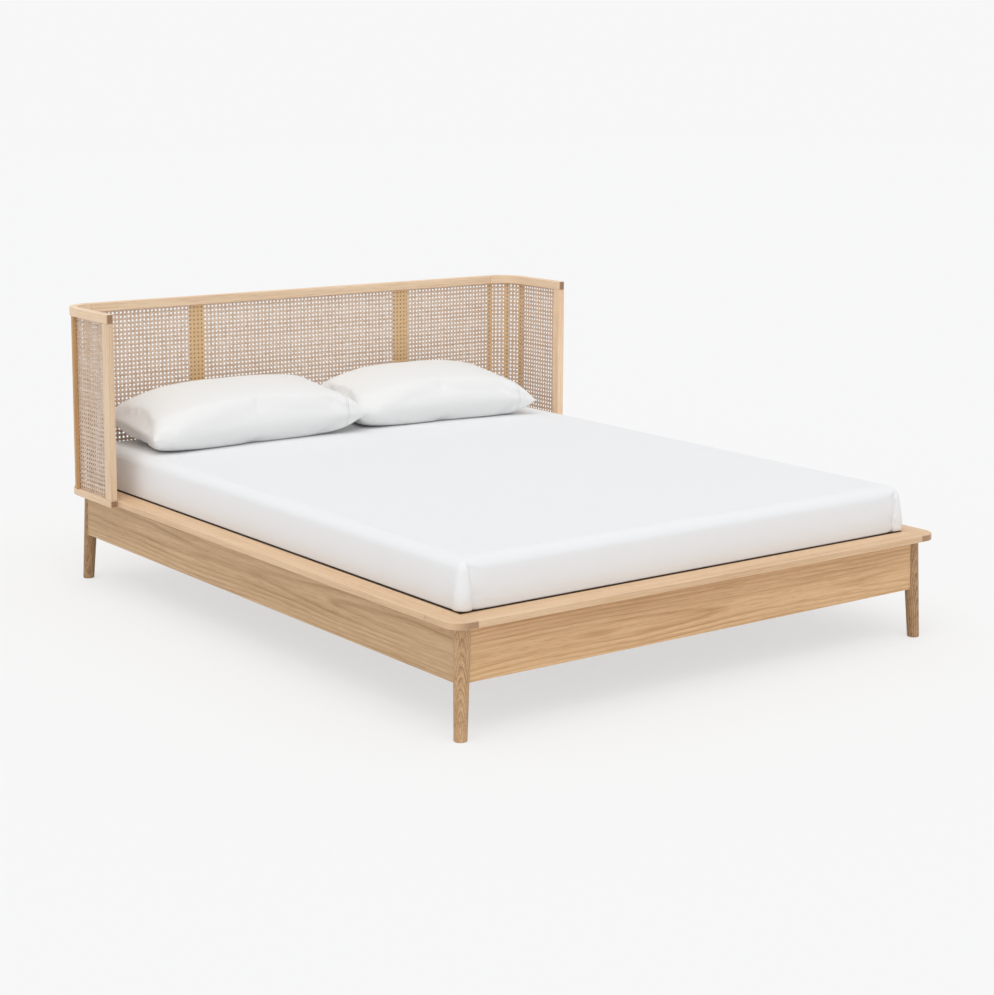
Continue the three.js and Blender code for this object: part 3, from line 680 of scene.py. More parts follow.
def bend(name, side, span, node):
    """The bent end: outer radius 100 mm, inner radius 75 mm, rounded nose."""
    inner = BEND_RADIUS - HEAD_THICK
    corners = [
        (BEND_X, HEAD_BACK - HEAD_THICK),
        (HEAD_OUT - HEAD_THICK, HEAD_BACK - HEAD_THICK),
        (HEAD_OUT - HEAD_THICK, NOSE_Y),
        (HEAD_OUT, NOSE_Y),
        (HEAD_OUT, HEAD_BACK),
        (BEND_X, HEAD_BACK),
    ]
    radii = rounded(np.array([0, inner, 0.006, 0.006, BEND_RADIUS, 0]), HEAD_ARRIS)[::side]
    outline = outline_of(mirrored(corners, side), radii, np.array([2, 28, 8, 8, 36, 2])[::side])
    points, normals, edge, faces = board_shape(outline, span, HEAD_ARRIS)
    # The nose's end grain is darkened 1.35 times as much, as painted shade.
    end = np.where(points[:, 1] < BEND_Y, 1.35 * end_of(normals, "y"), 0)
    marks = {"grain": wrap_grain(points), "edge": edge, "end": end}
    return mesh_piece(name, points, faces, head_oak, "oak", [node], normals, **marks)


rail_corners = block(-BEND_X + SEAM, BEND_X - SEAM, HEAD_BACK - HEAD_THICK, HEAD_BACK)
for level, span in {"top": TOP_RAIL, "bottom": BOTTOM_RAIL}.items():
    node = f"headboard_{level}_rail"
    board(f"headboard_{level}_board", rail_corners, span, "x", head_oak, "oak", node, HEAD_ARRIS)
    for name, side in SIDES.items():
        bend(f"headboard_{level}_wrap_{name}", side, span, f"headboard_{level}_bend_{name}")

stile_span = (BOTTOM_RAIL[1] + SEAM, TOP_RAIL[0] - SEAM)
for name, side in SIDES.items():
    corners = mirrored(block(HEAD_OUT - HEAD_THICK, HEAD_OUT, *STILE), side)
    node = f"headboard_stile_{name}"
    board(f"wing_stile_{name}", corners, stile_span, "z", head_oak, "oak", node, HEAD_ARRIS)
print("headboard", round(HEAD_OUT * 2, 4), "m wide")

# %% [markdown]
# ## Battens
#
# Flat battens stand behind the webbing and stiffen it: two wide ones across
# the back and three narrow ones round each corner. They follow the wrap.

# %% Battens
BATTEN_DEPTH = 0.007
BATTEN_THICK = 0.012
BATTEN_ARRIS = 0.001
BATTEN_SPAN = (0.3146, 0.8667)
WIDE_BATTEN = (0.410, 0.056)
NARROW_BATTENS = {"back": 6, "middle": 45, "wing": 84}
NARROW_WIDTH = 0.015


def batten(name, x, y, angle, width, material, node):
    """An upright strip whose broad face is turned by the angle, from facing the
    head towards facing outward."""
    across = np.array([math.cos(angle), -math.sin(angle)]) * width / 2
    out = np.array([math.sin(angle), math.cos(angle)]) * BATTEN_THICK / 2
    corners = np.array([x, y]) + [-across - out, across - out, across + out, out - across]
    outline = outline_of(corners, rounded(0, BATTEN_ARRIS), 3)
    points, normals, edge, faces = board_shape(outline, BATTEN_SPAN, BATTEN_ARRIS)
    marks = {"grain": grain_of(points, "z"), "edge": edge}
    return mesh_piece(name, points, faces, material, "batten", [node], normals, **marks)


reach = BEND_RADIUS - BATTEN_DEPTH
for name, side in SIDES.items():
    x, y = side * WIDE_BATTEN[0], HEAD_BACK - BATTEN_DEPTH
    node = f"back_batten_{name}"
    batten(f"wide_batten_{name}", x, y, 0.0, WIDE_BATTEN[1], batten_wood, node)
    for place, degrees in NARROW_BATTENS.items():
        angle = math.radians(degrees)
        x, y = side * (BEND_X + reach * math.sin(angle)), BEND_Y + reach * math.cos(angle)
        node = f"corner_batten_{place}_{name}"
        batten(f"narrow_batten_{place}_{name}", x, y, side * angle, NARROW_WIDTH, strip_wood, node)
print(len(SIDES) * (1 + len(NARROW_BATTENS)), "battens")

# %% [markdown]
# ## Cane webbing
#
# The webbing is woven from strips of cane bark: upright pairs, level pairs, and
# one strip on each diagonal. The diagonals cross midway between the pairs'
# crossings, which leaves eight-sided holes. A flat sheet with a picture of
# holes would look right only from far off. So the strips are laid out flat as
# lines, each with a low ridged section, and the whole web is then wrapped round
# the headboard.

# %% Cane webbing
WEB_HIGH = (0.3096, 0.8717)
WEB_FRONT = 0.7538
WEB_END = BEND_X + (BEND_RADIUS - CANE_DEPTH) * math.pi / 2 + BEND_Y - WEB_FRONT
ROWS = 40
COLUMNS = 2 * round(WEB_END / 0.014)
STEP_S = 2 * WEB_END / COLUMNS
STEP_Z = (WEB_HIGH[1] - WEB_HIGH[0]) / ROWS
PAIR_HALF = 0.0019
PAIR_WIDTH, DIAGONAL_WIDTH = 0.0034, 0.0036
STRIP_THICK = 0.0006
LIFT = 0.00035
random = np.random.default_rng(7)


def backed(s):
    """1 where a batten stands behind the web, and 0 elsewhere."""
    far = np.abs(s)
    hit = np.abs(far - WIDE_BATTEN[0]) < WIDE_BATTEN[1] / 2
    for degrees in NARROW_BATTENS.values():
        place = BEND_X + (BEND_RADIUS - CANE_DEPTH) * math.radians(degrees)
        hit |= np.abs(far - place) < NARROW_WIDTH / 2
    return hit.astype(float)


def strip_mesh(lines, across, width):
    """Each line is a row of points (s, z, lift). Its section is a low triangle:
    two edges, half a width out to each side, and a ridge between them."""
    count, length = lines.shape[:2]
    section = np.array([[-0.5, -0.5], [0.0, 0.5], [0.5, -0.5]])
    flat = lines[:, :, None, :].repeat(3, axis=2)
    flat[..., :2] += width * section[:, :1] * across
    flat[..., 2] += STRIP_THICK * section[:, 1]
    s, z, lift = flat[..., 0], flat[..., 1], flat[..., 2]
    points = np.stack([*wrap_place(s, CANE_DEPTH + lift), z], axis=-1).reshape(-1, 3)
    index = np.arange(s.size).reshape(s.shape)
    quads = quads_of(np.concatenate([index, index[..., :1]], axis=-1))
    marks = {"tone": random.uniform(0, 1, count).repeat(length * 3), "backed": backed(s).ravel()}
    faces = quads.tolist() + index[:, 0].tolist() + index[:, -1, ::-1].tolist()
    return points, faces, marks


def pair_lines(count, step, start):
    """Where the lines of all the pairs lie, half a gap to each side of a pair's
    middle."""
    middle = (np.arange(count) + 0.5) * step + start
    return (middle[:, None] + np.array([-1, 1]) * PAIR_HALF).ravel()


def woven(count, partners):
    """1 where a line passes over its partner, and -1 where it passes under. A
    line's neighbour does the opposite, and its ends lie level."""
    along = np.concatenate([[0], np.tile([1, -1], partners), [0]])
    return np.tile([1, -1], count)[:, None] * along


def upright_lines():
    """Two lines at each column, which cross the lines of every level pair."""
    s = pair_lines(COLUMNS, STEP_S, -WEB_END)[:, None]
    z = np.concatenate([WEB_HIGH[:1], pair_lines(ROWS, STEP_Z, WEB_HIGH[0]), WEB_HIGH[1:]])
    return np.stack(np.broadcast_arrays(s, z, woven(COLUMNS, ROWS) * LIFT), axis=-1)


def level_lines():
    """Two lines at each row, woven the opposite way to the uprights."""
    s = np.concatenate([[-WEB_END], pair_lines(COLUMNS, STEP_S, -WEB_END), [WEB_END]])
    z = pair_lines(ROWS, STEP_Z, WEB_HIGH[0])[:, None]
    return np.stack(np.broadcast_arrays(s, z, -woven(ROWS, COLUMNS) * LIFT), axis=-1)


def diagonal_lines(rise):
    """Short lines from the middle of each cell side to the middle of the next,
    in front of the level pairs and behind the upright ones, or the reverse."""
    column, row = np.meshgrid(np.arange(COLUMNS), np.arange(ROWS), indexing="ij")
    s = (column.ravel() * STEP_S - WEB_END)[:, None] + np.array([0.0, 0.5, 0.5, 1.0]) * STEP_S
    part = 0.5 + rise * np.array([0.0, 0.5, -0.5, 0.0])
    z = (row.ravel() * STEP_Z + WEB_HIGH[0])[:, None] + part * STEP_Z
    over = rise * 1.6 * LIFT * np.array([-1.0, 1.0, 1.0, -1.0])
    return np.stack(np.broadcast_arrays(s, z, over), axis=-1).reshape(-1, 2, 3)


def cane_finish(name):
    """Bark of rattan: pale straw with a tone of its own for each strip and a low gloss. Where a batten
    stands behind, the strands are painted a deeper ochre: painted shade and light for the light from behind
    that the batten stops."""
    material, tree, shader = new_material(name)
    place = add(tree, "ShaderNodeTexCoord").outputs["Object"]
    values = {"Vector": place, "Scale": 55.0, "Detail": 3.0}
    spots = add(tree, "ShaderNodeTexNoise", values).outputs["Fac"]
    own = maths(tree, "MULTIPLY", mark_of(tree, "tone"), 0.55)
    share = maths(tree, "MULTIPLY_ADD", spots, 0.7, own)
    straw = mixed(tree, share, colour("F3E3D5"), colour("C8AA90"))
    # Painted shade and light: strands with a batten behind them are mixed towards ochre.
    depth = maths(tree, "MULTIPLY", mark_of(tree, "backed"), 0.75)
    finish = {
        "Base Color": mixed(tree, depth, straw, colour("E6C08A")),
        "Roughness": 0.5,
        "Specular IOR Level": 0.4,
        "Normal": raised(tree, spots, 0.3, 0.0002),
    }
    feed(tree, shader, finish)
    return material


cane_bark = cane_finish("cane_bark")
SLANT = 0.7071
web = {
    "cane_uprights": (upright_lines(), (1.0, 0.0), PAIR_WIDTH, ["cane_webbing"]),
    "cane_levels": (level_lines(), (0.0, 1.0), PAIR_WIDTH, []),
    "cane_rising": (diagonal_lines(1), (SLANT, -SLANT), DIAGONAL_WIDTH, []),
    "cane_falling": (diagonal_lines(-1), (SLANT, SLANT), DIAGONAL_WIDTH, []),
}
for name, (lines, across, width, nodes) in web.items():
    points, faces, marks = strip_mesh(lines, across, width)
    mesh_piece(name, points, faces, cane_bark, "cane", nodes, **marks)
    print(name, len(lines), "strips,", len(faces), "faces")

# %% [markdown]
# ## Spline
#
# A round bead of cane core is glued into the groove over the webbing's edge.
# It is a tube carried along a rectangle that is wrapped with the web.

# %% Spline
BEAD_RADIUS = 0.0019
BEAD_DEPTH = 0.0112
BEAD_SINK = 0.0004
FRAME_LAP = 0.0047


def bead():
    """The path is a rectangle in s and z. Each of its points gives a ring: out
    from the rectangle by radius * cos a and in depth by radius * sin a."""
    edge = WEB_END - FRAME_LAP + BEAD_SINK
    low, high = BOTTOM_RAIL[1] - BEAD_SINK, TOP_RAIL[0] + BEAD_SINK
    bent = np.linspace(0.80, edge, 60)
    across = np.concatenate([-bent[::-1], np.linspace(-0.79, 0.79, 40), bent])
    upward = np.linspace(low, high, 24)[1:-1]
    s = np.concatenate([across, edge + 0 * upward, across[::-1], 0 * upward - edge])
    z = np.concatenate([low + 0 * across, upward, high + 0 * across, upward[::-1]])
    out_s = np.where(np.abs(s) >= edge, np.sign(s), 0.0)
    out_z = np.where(z <= low, -1.0, np.where(z >= high, 1.0, 0.0))
    around = np.linspace(0, 2 * math.pi, 11)[:-1]
    ring_s = s[:, None] + BEAD_RADIUS * out_s[:, None] * np.cos(around)
    ring_z = z[:, None] + BEAD_RADIUS * out_z[:, None] * np.cos(around)
    depth = BEAD_DEPTH + BEAD_RADIUS * np.sin(around) + 0 * ring_s
    points = np.stack([*wrap_place(ring_s, depth), ring_z], axis=-1).reshape(-1, 3)
    index = np.arange(ring_s.size).reshape(ring_s.shape)
    index = np.hstack([index, index[:, :1]])
    return points, quads_of(np.vstack([index, index[:1]])).tolist()


points, faces = bead()
marks = {"tone": np.full(len(points), 0.5)}
spline = mesh_piece("cane_bead", points, faces, cane_bark, "cane", ["cane_spline"], **marks)
spline.data.shade_smooth()
print("spline", len(faces), "faces")

# %% [markdown]
# ## Under the mattress
#
# Thirteen pine slats lie on two ledgers and on a beam down the middle. The
# beam hangs in steel shoes and stands on two turned legs with screw feet. They
# are plain boards, but each has its own grain and softened edges.

# %% Slats, ledgers and beam
SLAT_PLACES = -0.9285 + 0.15725 * np.arange(13)
SLAT_HALF = 0.045
SLAT_SPAN = (0.2373, 0.2553)

for i, y in enumerate(SLAT_PLACES, 1):
    corners = block(-0.809, 0.809, y - SLAT_HALF, y + SLAT_HALF)
    board(f"pine_slat_{i:02d}", corners, SLAT_SPAN, "x", slat_pine, "pine", f"slat_{i:02d}", 0.002)
for name, side in SIDES.items():
    corners = mirrored(block(0.7847, 0.8107, -0.9805, 0.9665), side)
    node = f"slat_ledger_{name}"
    board(f"ledger_strip_{name}", corners, (0.195, 0.237), "y", slat_pine, "pine", node, 0.0015)
corners = block(-0.0225, 0.0225, -0.9944, 1.0184)
board("middle_beam", corners, (0.167, 0.237), "y", slat_pine, "pine", "centre_beam", 0.0015)
print(len(pieces_made), "pieces so far")

# %% [markdown]
# ## Steel and nylon
#
# Corner plates and beam shoes are pressed from zinc-plated steel, and the screw
# feet are moulded in black nylon. A mesh of their own could be made for them,
# but their solids already have the right shape and hardly show. So they keep
# it, and only their finish is new: neither is a mirror, so the gloss varies.

# %% Steel and nylon


def coated(name, base, metallic, roughness, scale, bump):
    """A hard finish with fine mottling in its gloss and a slight unevenness."""
    material, tree, shader = new_material(name)
    place = add(tree, "ShaderNodeTexCoord").outputs["Object"]
    values = {"Vector": place, "Scale": scale, "Detail": 4.0}
    mottle = add(tree, "ShaderNodeTexNoise", values).outputs["Fac"]
    dark = tuple(0.82 * c for c in colour(base)[:3]) + (1.0,)
    finish = {
        "Metallic": metallic,
        "Base Color": mixed(tree, mottle, colour(base), dark),
        "Roughness": maths(tree, "MULTIPLY_ADD", mottle, 0.25, roughness - 0.12),
        "Normal": raised(tree, mottle, bump, 0.0002),
    }
    feed(tree, shader, finish)
    return material


steel_finish = coated("zinc_steel", "B9BABB", 1.0, 0.42, 160.0, 0.2)
nylon_finish = coated("black_nylon", "2B2B2C", 0.0, 0.55, 900.0, 0.3)


def finish_solid(names, material):
    """Gives solids that keep their own shape a better finish."""
    for name in names:
        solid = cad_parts[name]
        if solid.material_slots:
            solid.material_slots[0].material = material
        else:
            solid.data.materials.append(material)


plates = [f"corner_plate_{end}_{name}" for end in ("foot", "head") for name in SIDES]
finish_solid(plates + ["beam_shoe_foot", "beam_shoe_head"], steel_finish)
finish_solid(["screw_foot_foot", "screw_foot_head"], nylon_finish)
print("steel", len(plates) + 2, "solids, nylon 2")

# %% [markdown]
# ## Centre legs and screws
#
# The centre legs are plain turned pine. Each steel plate is held by four screws
# and each slat by one at either end. A screw is a low dome on a straight rim,
# so one small mesh holds them all.

# %% Centre legs and screws
PLATE_FACE = 0.8107
PLATE_ENDS = {-0.9972: 1, 1.0212: -1}
SCREW_INSET = 0.026
PLATE_THICK = 0.0027

for end, y in {"foot": -0.4234, "head": 0.4234}.items():
    piece, span, rims = f"turned_centre_leg_{end}", (0.0184, 0.1667), (0.0015, 0.0005)
    turned(piece, (0, y), (0, 0), span, (0.021, 0.021), rims, slat_pine, "pine", f"centre_leg_{end}")


def screw_heads(name, places, facing, radius, rise):
    """Rings of a dome: radius * cos a out and rise * sin a up. Each place is the
    middle of a head, and its facing is the way that the dome points."""
    places, facing = np.array(places, float), np.array(facing, float)
    helper = np.where(np.abs(facing[:, 2:]) > 0.9, [[1.0, 0.0, 0.0]], [[0.0, 0.0, 1.0]])
    first = np.cross(helper, facing)
    first /= np.linalg.norm(first, axis=1)[:, None]
    second = np.cross(facing, first)
    around = np.linspace(0, 2 * math.pi, 13)[:-1]
    level = np.array([0.0, 0.0, 0.5, 1.0, 1.25]) * math.pi / 3
    out, up = radius * np.cos(level), rise * np.sin(level)
    up[0] = -0.0006
    turns = np.cos(around)[:, None] * first[:, None, None] + np.sin(around)[:, None] * second[:, None, None]
    ring = out[:, None, None] * turns
    points = places[:, None, None] + ring + up[:, None, None] * facing[:, None, None]
    size = len(level) * len(around)
    one = board_faces(len(level), len(around))
    faces = [[start * size + corner for corner in face] for start in range(len(places)) for face in one]
    return mesh_piece(name, points.reshape(-1, 3), faces, steel_finish, "steel", [])


places, facing = [], []
for x_side in (-1, 1):
    for y_corner, y_side in PLATE_ENDS.items():
        for z in (0.160, 0.182):
            places.append((x_side * (PLATE_FACE - PLATE_THICK), y_corner + y_side * SCREW_INSET, z))
            facing.append((-x_side, 0, 0))
            places.append((x_side * (PLATE_FACE - SCREW_INSET), y_corner + y_side * PLATE_THICK, z))
            facing.append((0, y_side, 0))
screw_heads("plate_screws", places, facing, 0.0055, 0.003)
places = [(side * 0.797, y, SLAT_SPAN[1]) for y in SLAT_PLACES for side in (-1, 1)]
screw_heads("slat_screws", places, [(0, 0, 1)] * len(places), 0.004, 0.0002)
print(len(places), "slat screws")

# %% [markdown]
# ## Cotton
#
# Bed linen is a plain weave of fine white threads. From where the camera
# stands it looks smooth and matte with a faint halo, and close up the threads
# show. The weave is a product of sine waves, and a soft noise adds the slight
# unevenness of washed cloth.

# %% Cotton
THREAD = 0.0011
STITCH_GAP = 0.006
STITCH_HALF = 0.0009
# Painted shade colour for the cloth's dips.
CLOTH_DIP_SHADE = (0.80, 0.79, 0.77, 1.0)
STITCH_TINT = (0.52, 0.52, 0.50, 1.0)
# Painted shade for the band of sheet in the slot beside the ledge.
TUCKED_PAINTED_SHADE = (0.160, 0.095, 0.055, 1.0)


def cloth_weave():
    """Height: sin(x) sin(y) + sin(y) sin(z) + sin(z) sin(x), one wave a thread, plus a broad soft noise.
    Color: the given colour, with a little painted shade for the dips that follows the soft noise. Two
    stitch lines: 1 where the hem's distance is within 0.9 mm of 0 or 6 mm."""
    inputs = {
        "Place": ("Vector", None),
        "Cloth": ("Color", (0.9, 0.9, 0.9, 1.0)),
        "Thread": ("Float", THREAD),
        "Hem": ("Float", -1.0),
    }
    group, given, out = group_of("cloth_weave", inputs, {"Color": "Color", "Height": "Float"})

    def vector(operation, values, output=0):
        return add(group, "ShaderNodeVectorMath", values, operation=operation).outputs[output]

    turns = maths(group, "DIVIDE", 2 * math.pi, given["Thread"])
    waves = vector("SINE", {0: vector("SCALE", {0: given["Place"], "Scale": turns})})
    parts = add(group, "ShaderNodeSeparateXYZ", {0: waves}).outputs
    rolled = add(group, "ShaderNodeCombineXYZ", {"X": parts["Y"], "Y": parts["Z"], "Z": parts["X"]})
    product = vector("DOT_PRODUCT", {0: waves, 1: rolled.outputs[0]}, "Value")
    values = {"Vector": given["Place"], "Scale": 7.0, "Detail": 3.0}
    soft = add(group, "ShaderNodeTexNoise", values).outputs["Fac"]
    apart = maths(group, "ABSOLUTE", maths(group, "ADD", given["Hem"], -STITCH_GAP / 2))
    line = maths(group, "COMPARE", apart, STITCH_GAP / 2, STITCH_HALF)
    # Painted shade: a little darker with the soft noise.
    cloth = mixed(group, maths(group, "MULTIPLY", soft, 0.06), given["Cloth"], CLOTH_DIP_SHADE)
    cloth = mixed(group, maths(group, "MULTIPLY", line, 0.45), cloth, STITCH_TINT)
    height = maths(group, "MULTIPLY_ADD", soft, 8.0, product)
    height = maths(group, "MULTIPLY_ADD", line, -12.0, height)
    feed(group, out, {"Color": cloth, "Height": height})
    return group


weave = cloth_weave()


def cotton(name, written):
    """Matte white cotton with a soft sheen. The band that is tucked in beside the ledge gets painted shade:
    its colour goes to a dark oak brown."""
    material, tree, shader = new_material(name)
    place = add(tree, "ShaderNodeTexCoord").outputs["Object"]
    made = add(tree, "ShaderNodeGroup", node_tree=weave)
    feed(tree, made, {"Cloth": colour(written), "Place": place, "Hem": mark_of(tree, "hem")})
    finish = {
        # Painted shade: the slot band's colour goes to dark brown.
        "Base Color": mixed(tree, mark_of(tree, "slot_shade"), made.outputs["Color"], TUCKED_PAINTED_SHADE),
        "Roughness": 0.9,
        "Specular IOR Level": 0.2,
        "Sheen Weight": 0.08,
        "Normal": raised(tree, made.outputs["Height"], 0.25, 0.0003),
    }
    feed(tree, shader, finish)
    return material


sheet_cotton = cotton("sheet_cotton", "F1F2F4")
case_cotton = cotton("case_cotton", "F2F2F1")
print("threads", round(THREAD * 1000, 2), "mm apart")

# %% [markdown]
# ## Mattress in its fitted sheet
#
# A mattress is foam, so it keeps its shape, and the sheet is pulled tight over
# it. Only the corners show cloth: the sheet's corner seam folds over itself
# there. A simulation would only swell the block. So the form is worked out:
# a rounded outline, soft edges, a crown, and a fold that steps in at the seam.

# %% Mattress
MATTRESS = (0.798, -0.9785, 1.0175, 0.2556, 0.4556)
MATTRESS_CORNER = 0.022
MATTRESS_EDGE = 0.034
BOTTOM_EDGE = 0.018
BULGE = 0.003
TUCK = 0.009
TUCK_LEVEL = 0.311
SLOT_RINGS = [0.290, 0.303, 0.310, 0.312, 0.3125, 0.314, 0.3155, 0.317, 0.319, 0.323, 0.328]
SIDE_START = 0.336
CORNER_STEP, CORNER_REACH = 0.0013, 0.052
CROWN = 0.007


def crown_drop(x, y):
    """How far the top lies below its middle: crown * (1 - (1 - u^2)(1 - v^2))."""
    half_x, y0, y1 = MATTRESS[:3]
    u = np.clip(x / (half_x - MATTRESS_EDGE), -1, 1)
    v = np.clip((y - (y0 + y1) / 2) / ((y1 - y0) / 2 - MATTRESS_EDGE), -1, 1)
    return CROWN * (1 - (1 - u**2) * (1 - v**2))


def ways(angles):
    """Unit vectors at these angles."""
    return np.stack([np.cos(angles), np.sin(angles)], axis=1)


def smoothstep(t):
    """0 below 0, 1 above 1, and 3 t^2 - 2 t^3 between."""
    t = np.clip(t, 0, 1)
    return t * t * (3 - 2 * t)


def mattress_rim(arc=14, straight=(60, 80)):
    """The core of the outline in four sides, each from one corner's middle to
    the next: a corner's arc has one core point, its centre. Returns the core
    points, the normals, and each point's distance from the nearest corner's
    middle along the rim, positive on the foot and head sides."""
    half_x, y0, y1 = MATTRESS[:3]
    r = MATTRESS_CORNER
    centres = np.array(block(-half_x + r, half_x - r, y0 + r, y1 - r))
    core, normals, reach = [], [], []
    for i in range(4):
        start, end = centres[i], centres[(i + 1) % 4]
        facing = math.radians(-90 + 90 * i)
        first = facing - np.linspace(math.pi / 4, 0, arc + 1)
        last = facing + np.linspace(0, math.pi / 4, arc + 1)[:-1]
        close = np.arange(CORNER_STEP, CORNER_REACH, CORNER_STEP) / np.linalg.norm(end - start)
        middle = np.linspace(close[-1], 1 - close[-1], straight[i % 2])[1:-1]
        part = np.concatenate([close, middle, 1 - close[::-1]])[:, None]
        side_core = np.concatenate([[start] * (arc + 1), start + (end - start) * part, [end] * arc])
        side_normals = ways(np.concatenate([first, np.full(len(part), facing), last]))
        run = np.linalg.norm(np.diff(side_core + r * side_normals, axis=0), axis=1)
        run = np.concatenate([[0], np.cumsum(run)])
        whole = run[-1] + r * math.pi / 4 / arc
        core.append(side_core)
        normals.append(side_normals)
        reach.append(np.where(run < whole / 2, run, whole - run) * (1 if i % 2 == 0 else -1))
    return core, normals, reach


def rim_sides(rim, n):
    """The rim's four sides in a grid's order: foot and head run along x, left
    and right run along y. Neighbours share their corner."""
    begin = np.cumsum([0] + n)
    loop = np.concatenate([rim, rim[:1]])
    foot, right, head, left = [loop[begin[i] : begin[i + 1] + 1] for i in range(4)]
    return foot, right, head[::-1], left[::-1]


def spanned(rim, n):
    """A grid between the four sides of the rim (a Coons patch): the blend of
    foot and head, plus the blend of left and right, less the corners' blend."""
    foot, right, head, left = rim_sides(rim, n)
    u = np.linspace(0, 1, n[0] + 1)[:, None, None]
    v = np.linspace(0, 1, n[1] + 1)[None, :, None]
    corners = (1 - u) * ((1 - v) * foot[0] + v * head[0]) + u * ((1 - v) * foot[-1] + v * head[-1])
    return (1 - v) * foot[:, None] + v * head[:, None] + (1 - u) * left[None] + u * right[None] - corners


def mattress_form():
    """Rim rings up the side and over the edge, then a grid on top and one below.
    A ring that is inset further than the corner radius keeps a small radius,
    and its core shrinks instead."""
    sides, side_normals, side_reach = mattress_rim()
    half_x, y0, y1, z0, z1 = MATTRESS
    core, rim_normal = np.concatenate(sides), np.concatenate(side_normals)
    reach = np.concatenate(side_reach)
    quarter = np.linspace(0, math.pi / 2, 11)
    rising, falling = 1 - np.cos(quarter), 1 - np.sin(quarter)
    up_side = np.concatenate([SLOT_RINGS, np.linspace(SIDE_START, z1 - MATTRESS_EDGE, 12)[:-1]])
    height = [z0 + BOTTOM_EDGE * rising[::2], up_side, z1 - MATTRESS_EDGE * falling]
    height = np.concatenate(height)
    inset = np.concatenate([BOTTOM_EDGE * falling[::2], 0 * up_side, MATTRESS_EDGE * rising])
    radius = np.maximum(MATTRESS_CORNER - inset, 0.005)
    shrink = inset - MATTRESS_CORNER + radius
    centre = np.array([0.0, (y0 + y1) / 2])
    extent = np.array([half_x, (y1 - y0) / 2]) - MATTRESS_CORNER
    share = 1 - shrink[:, None, None] / extent
    ring_xy = centre + (core - centre)[None] * share + rim_normal[None] * radius[:, None, None]
    drop = crown_drop(ring_xy[..., 0], ring_xy[..., 1])
    level = np.clip((height - z0) / (z1 - z0), 0, 1)
    ring_z = height[:, None] - drop * level[:, None] ** 3
    tucked = TUCK * (1 - smoothstep((height - TUCK_LEVEL) / 0.006))
    swell = BULGE * np.sin(math.pi * level) - tucked
    fold = corner_fold(np.broadcast_to(reach, ring_z.shape), ring_z)
    ring_xy = ring_xy + rim_normal[None] * (swell[:, None] - BULGE - fold)[..., None]
    rings = np.concatenate([ring_xy, ring_z[..., None]], axis=2)

    n = [len(side) for side in sides]
    grid = spanned(rings[-1], n)
    x, y = grid[..., 0], grid[..., 1]
    ripple = 0.0007 * np.sin(7 * x + 3 * y) * np.sin(5 * y - 4 * x + 1) + 0.0004 * np.sin(17 * x - 9 * y)
    u, v = np.meshgrid(np.linspace(0, 1, n[0] + 1), np.linspace(0, 1, n[1] + 1), indexing="ij")
    inner = 16 * u * (1 - u) * v * (1 - v)
    risen = z1 - crown_drop(x, y) + ripple * np.minimum(1, 6 * inner)
    grid[..., 2] = np.where(inner > 0, risen, grid[..., 2])
    return rings, grid, spanned(rings[0], n), n


def corner_fold(reach, z):
    """The sheet's corner seam, 20 to 34 mm round onto the foot or the head side:
    the cloth steps in by the fold's depth at the seam, and comes back out by
    exp(-t / 12 mm) towards the side's middle. Shallow creases run out of the
    seam at two heights, and the bunched cloth stands out by up to 12 mm above
    the ledge. Returns how far each point sinks."""
    wobble = 0.0016 * np.sin(95 * z) + 0.0010 * np.sin(230 * z + 1)
    t = reach - wobble - 0.020 - 0.11 * (0.440 - z)
    height = np.clip((0.440 - z) / 0.02, 0, 1) * np.clip((z - 0.262) / 0.02, 0, 1)
    one_side = np.exp(np.minimum(t, 0) / 0.0012 - np.maximum(t, 0) / 0.012)
    upper, lower = (z - 0.425 + 0.35 * t) / 0.004, (z - 0.345 - 0.4 * t) / 0.005
    creases = np.exp(-(upper**2)) + np.exp(-(lower**2))
    bunched = smoothstep((0.440 - z) / 0.11) * smoothstep((z - 0.314) / 0.006)
    flare = 0.012 * np.exp(-((reach / 0.030) ** 2)) * bunched
    return height * (0.0085 * one_side + 0.0022 * creases * np.exp(-np.abs(t) / 0.02)) - flare


def mattress_mesh():
    """Joins the rings with the grids on top and below, which share their rims."""
    rings, above, below, n = mattress_form()
    count, columns = rings.shape[:2]
    points = [rings.reshape(-1, 3)]
    faces = board_faces(count, columns)[:-2]
    for grid, first, upward in ((above, (count - 1) * columns, True), (below, 0, False)):
        foot, right, head, left = rim_sides(first + np.arange(columns), n)
        index = np.full(grid.shape[:2], -1)
        index[:, 0], index[-1, :], index[:, -1], index[0, :] = foot, right, head, left
        inner = index < 0
        index[inner] = sum(len(part) for part in points) + np.arange(inner.sum())
        quads = quads_of(index)
        points.append(grid[inner])
        faces += (quads if upward else quads[:, ::-1]).tolist()
    return np.concatenate(points), faces


def soft_piece(name, points, faces, material, body, node, hem=None, slot_shade=None):
    """A padded piece that rides on its own body and stands for its solid. The hem is each point's distance
    past the hem's seam, and the slot shade is 1 where the cloth lies in the slot beside the ledge, which is
    darkened as painted shade."""
    mesh = bpy.data.meshes.new(name)
    mesh.from_pydata(np.asarray(points).tolist(), [], faces)
    mesh.update()
    for title, values in (("hem", hem), ("slot_shade", slot_shade)):
        layer = mesh.attributes.new(title, "FLOAT", "POINT")
        none = np.full(len(points), -1.0 if title == "hem" else 0.0)
        layer.data.foreach_set("value", none if values is None else values)
    mesh.shade_smooth()
    mesh.materials.append(material)
    piece = bpy.data.objects.new(name, mesh)
    bpy.context.scene.collection.objects.link(piece)
    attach(piece, body)
    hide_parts(node)
    return piece


points, faces = mattress_mesh()
